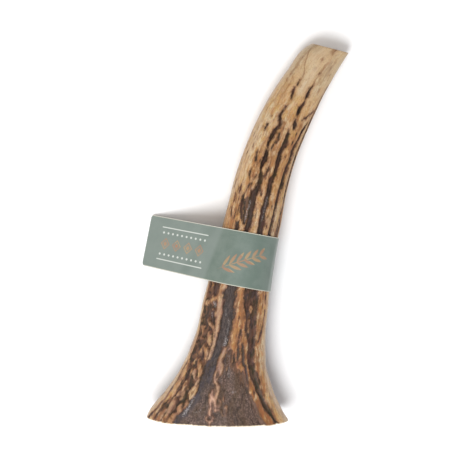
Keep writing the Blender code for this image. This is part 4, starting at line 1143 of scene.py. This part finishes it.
def makeAntler():
    count = antler["around"]
    along, angle = antlerGrid()
    surface = Surface(along, angle)
    straight = surface.straight
    lift, marks = antlerRelief(surface)
    roundRims(lift, straight)
    sides = antlerPoints(along, angle, lift)
    _, side, up, _, _ = sectionsAt(np.array([0.0, antlerLength]))
    toBase, _ = np.cross(side, up)
    _, toTip = np.cross(up, side)

    points, places = [sides.reshape(-1, 3)], [straight.reshape(-1, 3)]
    used = len(points[0])
    cores, holes = [np.zeros(used)], [np.zeros(used)]
    faces, closing = [gridFaces(len(along), count, True)], []
    slots = [0] * len(faces[0])
    for row, outward, shape, turn in ((0, toBase, antler["sawnBase"], 1),
                                      (len(along) - 1, toTip, antler["sawnTip"], -1)):
        cap, capStraight, centre, straightCentre, core, hole = sawnFace(
            sides[row], straight[row], outward, *shape)
        points += [cap.reshape(-1, 3), centre[None]]
        places += [capStraight.reshape(-1, 3), straightCentre[None]]
        cores += [core.ravel(), [1.0]]
        holes += [hole.ravel(), [0.0]]
        capSides, capMiddle = capFaces(row * count, used, len(cap), count, turn)
        faces += capSides
        closing += capMiddle
        used += core.size + 1
    faces = [tuple(face) for block in faces for face in block.tolist()] + closing
    slots += [1] * (len(faces) - len(slots))
    piece = newPiece("antlerPiece", np.concatenate(points), faces,
                     [makeBoneFinish(), makeSawnFinish()], slots)
    for name, values in marks.items():
        store(piece, name, values.ravel())
    store(piece, "straight", np.concatenate(places))
    store(piece, "core", np.concatenate(cores))
    store(piece, "hole", np.concatenate(holes))
    return piece


antlerPiece = makeAntler()
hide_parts("antler")
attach(antlerPiece, "root")
print("antler:", len(antlerPiece.data.vertices), "points")


# the card band, folded round the antler and glued to itself at its left end

band = {
    "middle": (-0.45, -13.3), "turn": 10.4,   # the middle of the strip, and its turn in degrees
    "width": 27.1, "card": 0.45, "gap": 0.35,
    # how far left of the middle the glued end lies at both long edges, and the length of the tab
    "tabLeftNear": 49.9, "tabLeftFar": 49.6, "tabLength": 8.0,
    "tabCorner": 1.2,
    "narrowing": 1.1, "narrowingStart": 8.0,
    "arcPoints": 120, "straightPoints": 40, "tabPoints": 10, "stations": 30,
    # steps of the search for where the card touches the antler, its angles at the top and
    # underneath, and how often it is refined
    "searchSteps": 600, "searchTop": (-75.0, -5.0), "searchUnder": (170.0, 230.0), "refinings": 3,
    "sectionSteps": 400,
    "sharpAngle": 40.0,
}


def bandDirections():
    # along the strip and across it, as seen from above
    turn = np.radians(band["turn"])
    return np.array([np.cos(turn), -np.sin(turn)]), np.array([np.sin(turn), np.cos(turn)])


def sectionUnderBand(aheadPlace):
    # the antler's section at one place across the strip: its middle, half width and half height
    side, ahead = bandDirections()
    along = np.linspace(0.0, antlerLength, band["sectionSteps"])
    places = (sectionsAt(along)[0][:, :2] - band["middle"]) @ ahead
    here = np.array([np.interp(aheadPlace, places, along)])
    middle, _, _, halfWidth, halfHeight = (value[0] for value in sectionsAt(here))
    return (middle[:2] - band["middle"]) @ side, middle[2], halfWidth, halfHeight


def hugging(section, angle):
    # the card's inner face round the antler, at angles from the crest
    across, height, halfWidth, halfHeight = section
    toSide, toTop = outline(angle, halfWidth, halfHeight, band["gap"])
    return np.stack([across + toSide, height + toTop], axis=-1)


def touchingAngle(section, start, low, high):
    # where a straight run of card from the start first touches the curve round the antler
    angles = np.radians(np.linspace(low, high, band["searchSteps"]))
    curve = hugging(section, angles)
    heading = np.gradient(curve, axis=0)
    reach = curve - start
    turning = reach[:, 0] * heading[:, 1] - reach[:, 1] * heading[:, 0]
    return angles[np.argmin(np.abs(turning))]


def leftNormals(points):
    heading = np.gradient(points, axis=0)
    normal = np.stack([-heading[:, 1], heading[:, 0]], axis=-1)
    return normal / np.linalg.norm(normal, axis=1)[:, None]


def bandProfile(aheadPlace):
    # outer and inner run of the card at one place across its width
    section = sectionUnderBand(aheadPlace)
    share = aheadPlace / band["width"] + 0.5
    card = band["card"]
    tabLeft = band["tabLeftNear"] + (band["tabLeftFar"] - band["tabLeftNear"]) * share
    glueEnd = np.array([-tabLeft, card])
    # the height of the glued end depends on the tab's slope, and the slope on that height
    for _ in range(band["refinings"]):
        top = touchingAngle(section, glueEnd, *band["searchTop"])
        reach = hugging(section, top) - glueEnd
        slope = reach / np.linalg.norm(reach)
        above = np.array([-slope[1], slope[0]])
        glueEnd[1] = card * above[1]
    # at the apex the tab ends and the two runs of card part
    apex = glueEnd + slope * band["tabLength"]
    under = touchingAngle(section, apex, *band["searchUnder"])
    arc = hugging(section, np.linspace(top, under, band["arcPoints"]))
    shares = np.linspace(0.0, 1.0, band["straightPoints"] + 2)[1:-1, None]
    inner = np.concatenate([[apex], apex + (arc[0] - apex) * shares, arc,
                            arc[-1] + (apex - arc[-1]) * shares, [apex]])
    normals = leftNormals(inner)
    outer = inner + card * normals
    fold = apex + card * (normals[-1] - above) / (1.0 - normals[-1] @ above)
    tabShares = np.linspace(0.0, 1.0, band["tabPoints"] + 1)[:-1, None]
    endTop, endBottom = glueEnd + card * above, glueEnd - card * above
    topTab = endTop + (outer[0] - endTop) * tabShares
    bottomTab = fold + (endBottom - fold) * (1 - tabShares[::-1])
    return np.concatenate([topTab, outer[:-1], [fold], bottomTab[1:], [endBottom]]), inner[:-1]


# the print: rules, dots and lozenges left of the antler and a leaf sprig over it, placed along the
# strip from its glued end and across it
bandPrint = {
    # the card, a darker copy of it that paints the shade past the crease, and paler clouds
    "card": tint(124, 137, 130), "cardShade": tint(103, 120, 110), "cardLight": tint(138, 150, 142),
    # a painted highlight where the card bends down the antler's right side, where it starts and ends along
    # the strip, and its strength
    "bendHighlight": tint(168, 178, 172), "bendFrom": (74.0, 76.5), "bendTo": (84.0, 80.0), "bendHighlightStrength": 0.5,
    "copper": tint(172, 122, 92), "gold": tint(182, 152, 108), "white": tint(222, 227, 220),
    "whiteStrength": 0.85,
    # strength of the metal colours where they are worn, how much more elsewhere, and their drift
    "sprigStrength": (0.35, 0.45), "lozengeStrength": (0.4, 0.4), "metalDrift": (0.05, 0.1),
    "edge": tint(214, 212, 196), "edgeWidth": 0.35, "edgeFade": (-0.06, 0.1), "edgeStrength": 0.9,
    # smooth noises: waves to a mm, detail and roughness; then where the pale clouds and the sound
    # metal start and are full
    "cloud": ((0.12, 0.12, 0.12), 3.0, 0.6), "fine": ((2.2, 2.2, 2.2), 3.0, 0.65),
    "cloudSpread": (0.6, 0.9), "cloudStrength": 0.3, "soundSpread": (0.3, 0.5),
    # where the card is painted darker past its bend over the antler, as painted shade: place, lean, and
    # where it starts and is full; then a softer painted shade at a bend before it: place, lean and reach
    "crease": (41.4, 0.17, -1.6, 1.2), "softBend": (31.5, 0.41, 4.5), "softBendShadeStrength": 0.4,
    # foot, turn, length and half width of the stem
    "stem": ((46.0, -6.6), 27.0, 25.0, 0.26),
    "leafStart": 2.0, "leafStep": 3.9, "leafPairs": 6, "leafTurn": 38.0,
    "leafLength": 7.4, "leafShrink": 0.5, "leafHalfWidth": 0.75,
    # where the rows start and end along the strip
    "rows": (8.0, 36.0),
    # place across and height of each rule, then place across, step and radius of each row of dots
    "rules": ((8.4, 0.5), (-8.4, 0.5)), "dots": ((5.6, 2.8, 0.55), (-5.6, 2.8, 0.55)),
    # step, half length and half height of the lozenges, then their line and where their heart starts
    "lozenges": (7.0, 2.7, 3.1), "lozengeSlope": 0.75, "lozengeLine": 0.5, "lozengeHeart": 1.1,
    "softness": 0.12,
    "roughness": 0.45, "bumpHeight": 0.00004, "bumpStrength": 0.5,
}


def leafMask(run, across, base, turn, length, halfWidth):
    # a pointed leaf, from its base
    sine, cosine = math.sin(math.radians(turn)), math.cos(math.radians(turn))
    ahead = ((run - base[0]) * cosine + (across - base[1]) * sine) * (2 / length) - 1.0
    aside = (across - base[1]) * cosine - (run - base[0]) * sine
    soft = bandPrint["softness"]
    return ((1.0 - ahead * ahead) * halfWidth - abs(aside)).between(-soft, soft)


def sprigMask(run, across):
    # a stem with pairs of leaves that get shorter towards its tip
    look = bandPrint
    base, turn, length, halfWidth = look["stem"]
    sprig = leafMask(run, across, base, turn, length, halfWidth)
    sine, cosine = math.sin(math.radians(turn)), math.cos(math.radians(turn))
    for pair in range(look["leafPairs"]):
        reach = look["leafStart"] + pair * look["leafStep"]
        foot = (base[0] + reach * cosine, base[1] + reach * sine)
        leafLength = look["leafLength"] - pair * look["leafShrink"]
        for side in (-1, 1):
            leafTurn = turn + side * look["leafTurn"]
            sprig = sprig.most(leafMask(run, across, foot, leafTurn, leafLength, look["leafHalfWidth"]))
    return sprig


def ruleMasks(fromStart, across):
    # the rules and the rows of dots
    soft = bandPrint["softness"]
    masks = [(height / 2 - abs(across - place)).between(-soft, soft) for place, height in bandPrint["rules"]]
    for place, step, radius in bandPrint["dots"]:
        aside, above = fromStart % step - step / 2, across - place
        masks.append((radius - (aside * aside + above * above) ** 0.5).between(-soft, soft))
    return masks


def lozengeMask(fromStart, across):
    # a row of lozenges, each a line round a small heart
    look, soft = bandPrint, bandPrint["softness"]
    step, halfLength, halfHeight = look["lozenges"]
    aside = abs((fromStart % step) - step / 2) * (1 / halfLength)
    depth = (1.0 - aside - abs(across) * (1 / halfHeight)) * halfLength * look["lozengeSlope"]
    line = depth.between(-soft, soft) * depth.between(look["lozengeLine"] + soft, look["lozengeLine"] - soft)
    return line.most(depth.between(look["lozengeHeart"] - soft, look["lozengeHeart"] + soft))


def cardColor(f, run, across, cloud, fine):
    # the bare card: painted shade past the crease where the card turns from the light, a softer painted
    # shade at a bend before it, pale clouds, and a painted highlight on the bend down the side
    look = bandPrint
    place, lean, low, high = look["crease"]
    # painted shade: the card is coloured darker past its bend over the antler, where it turns from the light
    color = f.mix((run - lean * across).between(place + low, place + high), look["card"], look["cardShade"])
    # a softer painted shade along a bend before the crease
    place, lean, reach = look["softBend"]
    bend = abs(run - lean * across - place).between(reach, 0.0)
    color = f.mix(bend * look["softBendShadeStrength"], color, look["cardShade"])
    cloudy = (cloud + fine * 0.5).between(*look["cloudSpread"])
    color = f.mix(cloudy * look["cloudStrength"], color, look["cardLight"])
    # a painted highlight where the card bends down the antler's side
    onBendHighlight = run.between(*look["bendFrom"]) * run.between(*look["bendTo"])
    return f.mix(onBendHighlight * look["bendHighlightStrength"], color, look["bendHighlight"])


def makeCardFinish():
    look = bandPrint
    f = Finish("printedCard")
    onCard, run, across = f.stored("cardPlace", "Vector"), f.stored("cardRun"), f.stored("cardAcross")
    cloud, fine = f.blur(onCard, *look["cloud"]), f.blur(onCard, *look["fine"])
    color = cardColor(f, run, across, cloud, fine)
    sound = fine.between(*look["soundSpread"])
    alongDrift, acrossDrift = look["metalDrift"]
    metal = f.mix((run * alongDrift + across * acrossDrift) % 1.0, look["gold"], look["copper"])
    least, more = look["sprigStrength"]
    color = f.mix(sprigMask(run, across) * (least + more * sound), color, metal)
    soft = look["softness"]
    rowStart, rowEnd = look["rows"]
    fromStart = run - rowStart
    onRow = fromStart.least(rowEnd - run).between(-soft, soft)
    for mask in ruleMasks(fromStart, across):
        color = f.mix(mask * onRow * look["whiteStrength"], color, look["white"])
    least, more = look["lozengeStrength"]
    color = f.mix(lozengeMask(fromStart, across) * onRow * (least + more * sound), color, metal)
    rim = (abs(across) - (band["width"] / 2 - look["edgeWidth"])).between(*look["edgeFade"])
    f.feed("Base Color", f.mix(rim * look["edgeStrength"], color, look["edge"]))
    f.feed("Roughness", look["roughness"] + 0.2 * fine)
    f.bump(fine, look["bumpHeight"], look["bumpStrength"])
    return f.material


rawCard = {
    "pale": tint(232, 226, 208), "deep": tint(216, 208, 188), "spread": (0.3, 0.7),
    "fine": ((4.0, 4.0, 4.0), 3.0, 0.6), "roughness": 0.75,
}


def makeRawCardFinish():
    f = Finish("rawCard")
    fine = f.blur(f.stored("cardPlace", "Vector"), *rawCard["fine"])
    f.feed("Base Color", f.mix(fine.between(*rawCard["spread"]), rawCard["pale"], rawCard["deep"]))
    f.feed("Roughness", rawCard["roughness"])
    return f.material


def cutToShape(profile, station, tabEnd):
    # places across the width of a run of card: the tab's corners are round, and one long edge
    # draws in a little towards the tab
    half, corner = band["width"] / 2, band["tabCorner"]
    pull = np.clip(corner - (profile[:, 0] - tabEnd), 0.0, corner)
    width = half - corner + np.sqrt(np.maximum(corner ** 2 - pull ** 2, 0.0))
    across = station * width / half
    reach = band["tabLeftNear"] - band["narrowingStart"]
    drawnIn = np.clip((-profile[:, 0] - band["narrowingStart"]) / reach, 0.0, 1.0)
    return across, across + drawnIn * band["narrowing"] * (0.5 - station / band["width"])


def bandGrids(stations):
    # points of the outer and inner face, row by row across the width, and their places on the flat strip
    side, ahead = bandDirections()
    grids, places = ([], []), ([], [])
    for station in stations:
        profiles = bandProfile(station)
        tabEnd = profiles[0][:, 0].min()
        for profile, grid, place in zip(profiles, grids, places):
            run = np.concatenate([[0.0], np.cumsum(np.linalg.norm(np.diff(profile, axis=0), axis=1))])
            across, drawnIn = cutToShape(profile, station, tabEnd)
            plan = np.array(band["middle"]) + profile[:, :1] * side + drawnIn[:, None] * ahead
            grid.append(np.column_stack([plan, profile[:, 1]]))
            place.append(np.column_stack([run, across, np.zeros(len(run))]))
    return grids, places


def cutEdgeFaces(outerCount, innerCount, stationCount):
    # the card's cut edges: strips between the outer and inner face, and triangles where these meet
    innerStart, tabStart = outerCount * stationCount, band["tabPoints"]
    partners = [0] * tabStart + list(range(innerCount)) + [0] * (outerCount - tabStart - innerCount)
    faces = []
    for station, turn in ((0, 1), (stationCount - 1, -1)):
        outer, inner = station * outerCount, innerStart + station * innerCount
        for step in range(outerCount):
            following = (step + 1) % outerCount
            ring = (outer + step, outer + following, inner + partners[following], inner + partners[step])
            ring = ring[:3] if ring[2] == ring[3] else ring
            faces.append(ring[::turn])
    return faces


def makeBand():
    half = band["width"] / 2
    stations = np.linspace(-half, half, band["stations"])
    grids, places = bandGrids(stations)
    outerCount, innerCount = (len(grid[0]) for grid in grids)
    outerFaces = gridFaces(len(stations), outerCount, True)
    innerFaces = gridFaces(len(stations), innerCount, False, outerCount * len(stations))
    faces = [tuple(face) for face in np.concatenate([outerFaces, innerFaces]).tolist()]
    faces += cutEdgeFaces(outerCount, innerCount, len(stations))
    slots = [0] * len(outerFaces) + [1] * (len(faces) - len(outerFaces))
    piece = newPiece("cardBand", np.concatenate(grids[0] + grids[1]), faces,
                     [makeCardFinish(), makeRawCardFinish()], slots)
    piece.data.set_sharp_from_angle(angle=math.radians(band["sharpAngle"]))
    onCard = np.concatenate(places[0] + places[1])
    store(piece, "cardPlace", onCard)
    store(piece, "cardRun", onCard[:, 0])
    store(piece, "cardAcross", onCard[:, 1])
    return piece


cardBand = makeBand()
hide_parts("card_band")
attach(cardBand, "root")
print("card band:", len(cardBand.data.vertices), "points")


# floor, light and camera

studio = {
    "floorSize": 6.0,
    "floorColor": (0.86, 0.86, 0.86, 1.0), "floorRoughness": 0.8,
    # where each lamp stands from the object, its power, width, distance and colour
    "lamps": {
        "keyLight": ((-0.19, -0.47, 1.0), 15.4, 0.62, 1.3, (0.98, 1.0, 1.02)),
        "leftLight": ((-1.0, 0.1, 0.8), 3.2, 1.0, 1.3, (1.1, 1.0, 0.86)),
        "rightLight": ((1.0, 0.1, 0.4), 1.4, 0.9, 1.3, (1.0, 1.0, 1.02)),
    },
    "skyStrength": 0.54, "skyColor": (1.03, 0.99, 0.99, 1.0),
    "cameraHeight": 0.9, "middleHeight": 0.014, "nearest": 0.01,
    "lookAt": (-0.0074, 0.0013), "fieldWidth": 0.23,
}


def makeFloor():
    size = studio["floorSize"]
    corners = [(-size, -size, 0.0), (size, -size, 0.0), (size, size, 0.0), (-size, size, 0.0)]
    mesh = bpy.data.meshes.new("floor")
    mesh.from_pydata(corners, [], [(0, 1, 2, 3)])
    floor = bpy.data.objects.new("floor", mesh)
    scene.collection.objects.link(floor)
    f = Finish("floorPaper")
    f.feed("Base Color", studio["floorColor"])
    f.feed("Roughness", studio["floorRoughness"])
    mesh.materials.append(f.material)


def makeLamp(name, comesFrom, power, width, distance, color):
    lamp = bpy.data.lights.new(name, "AREA")
    lamp.shape = "DISK"
    lamp.size = width
    lamp.energy = power
    lamp.color = color
    stand = bpy.data.objects.new(name, lamp)
    stand.location = Vector(comesFrom).normalized() * distance
    stand.rotation_euler = Vector(comesFrom).to_track_quat("Z", "Y").to_euler()
    scene.collection.objects.link(stand)


def makeSky():
    world = bpy.data.worlds.new("studioWorld")
    world.use_nodes = True
    sky = world.node_tree.nodes["Background"]
    sky.inputs["Strength"].default_value = studio["skyStrength"]
    sky.inputs["Color"].default_value = studio["skyColor"]
    scene.world = world


def makeCamera():
    # straight above, as wide as the photograph at the height of the antler's middle
    lens = bpy.data.cameras.new("camera")
    camera = bpy.data.objects.new("camera", lens)
    camera.location = (*studio["lookAt"], studio["cameraHeight"])
    depth = studio["cameraHeight"] - studio["middleHeight"]
    lens.angle = 2 * math.atan(studio["fieldWidth"] / 2 / depth)
    lens.clip_start = studio["nearest"]
    scene.collection.objects.link(camera)
    scene.camera = camera


makeFloor()
for name, lamp in studio["lamps"].items():
    makeLamp(name, *lamp)
makeSky()
makeCamera()
scene.view_settings.view_transform = "Standard"
print("studio ready")
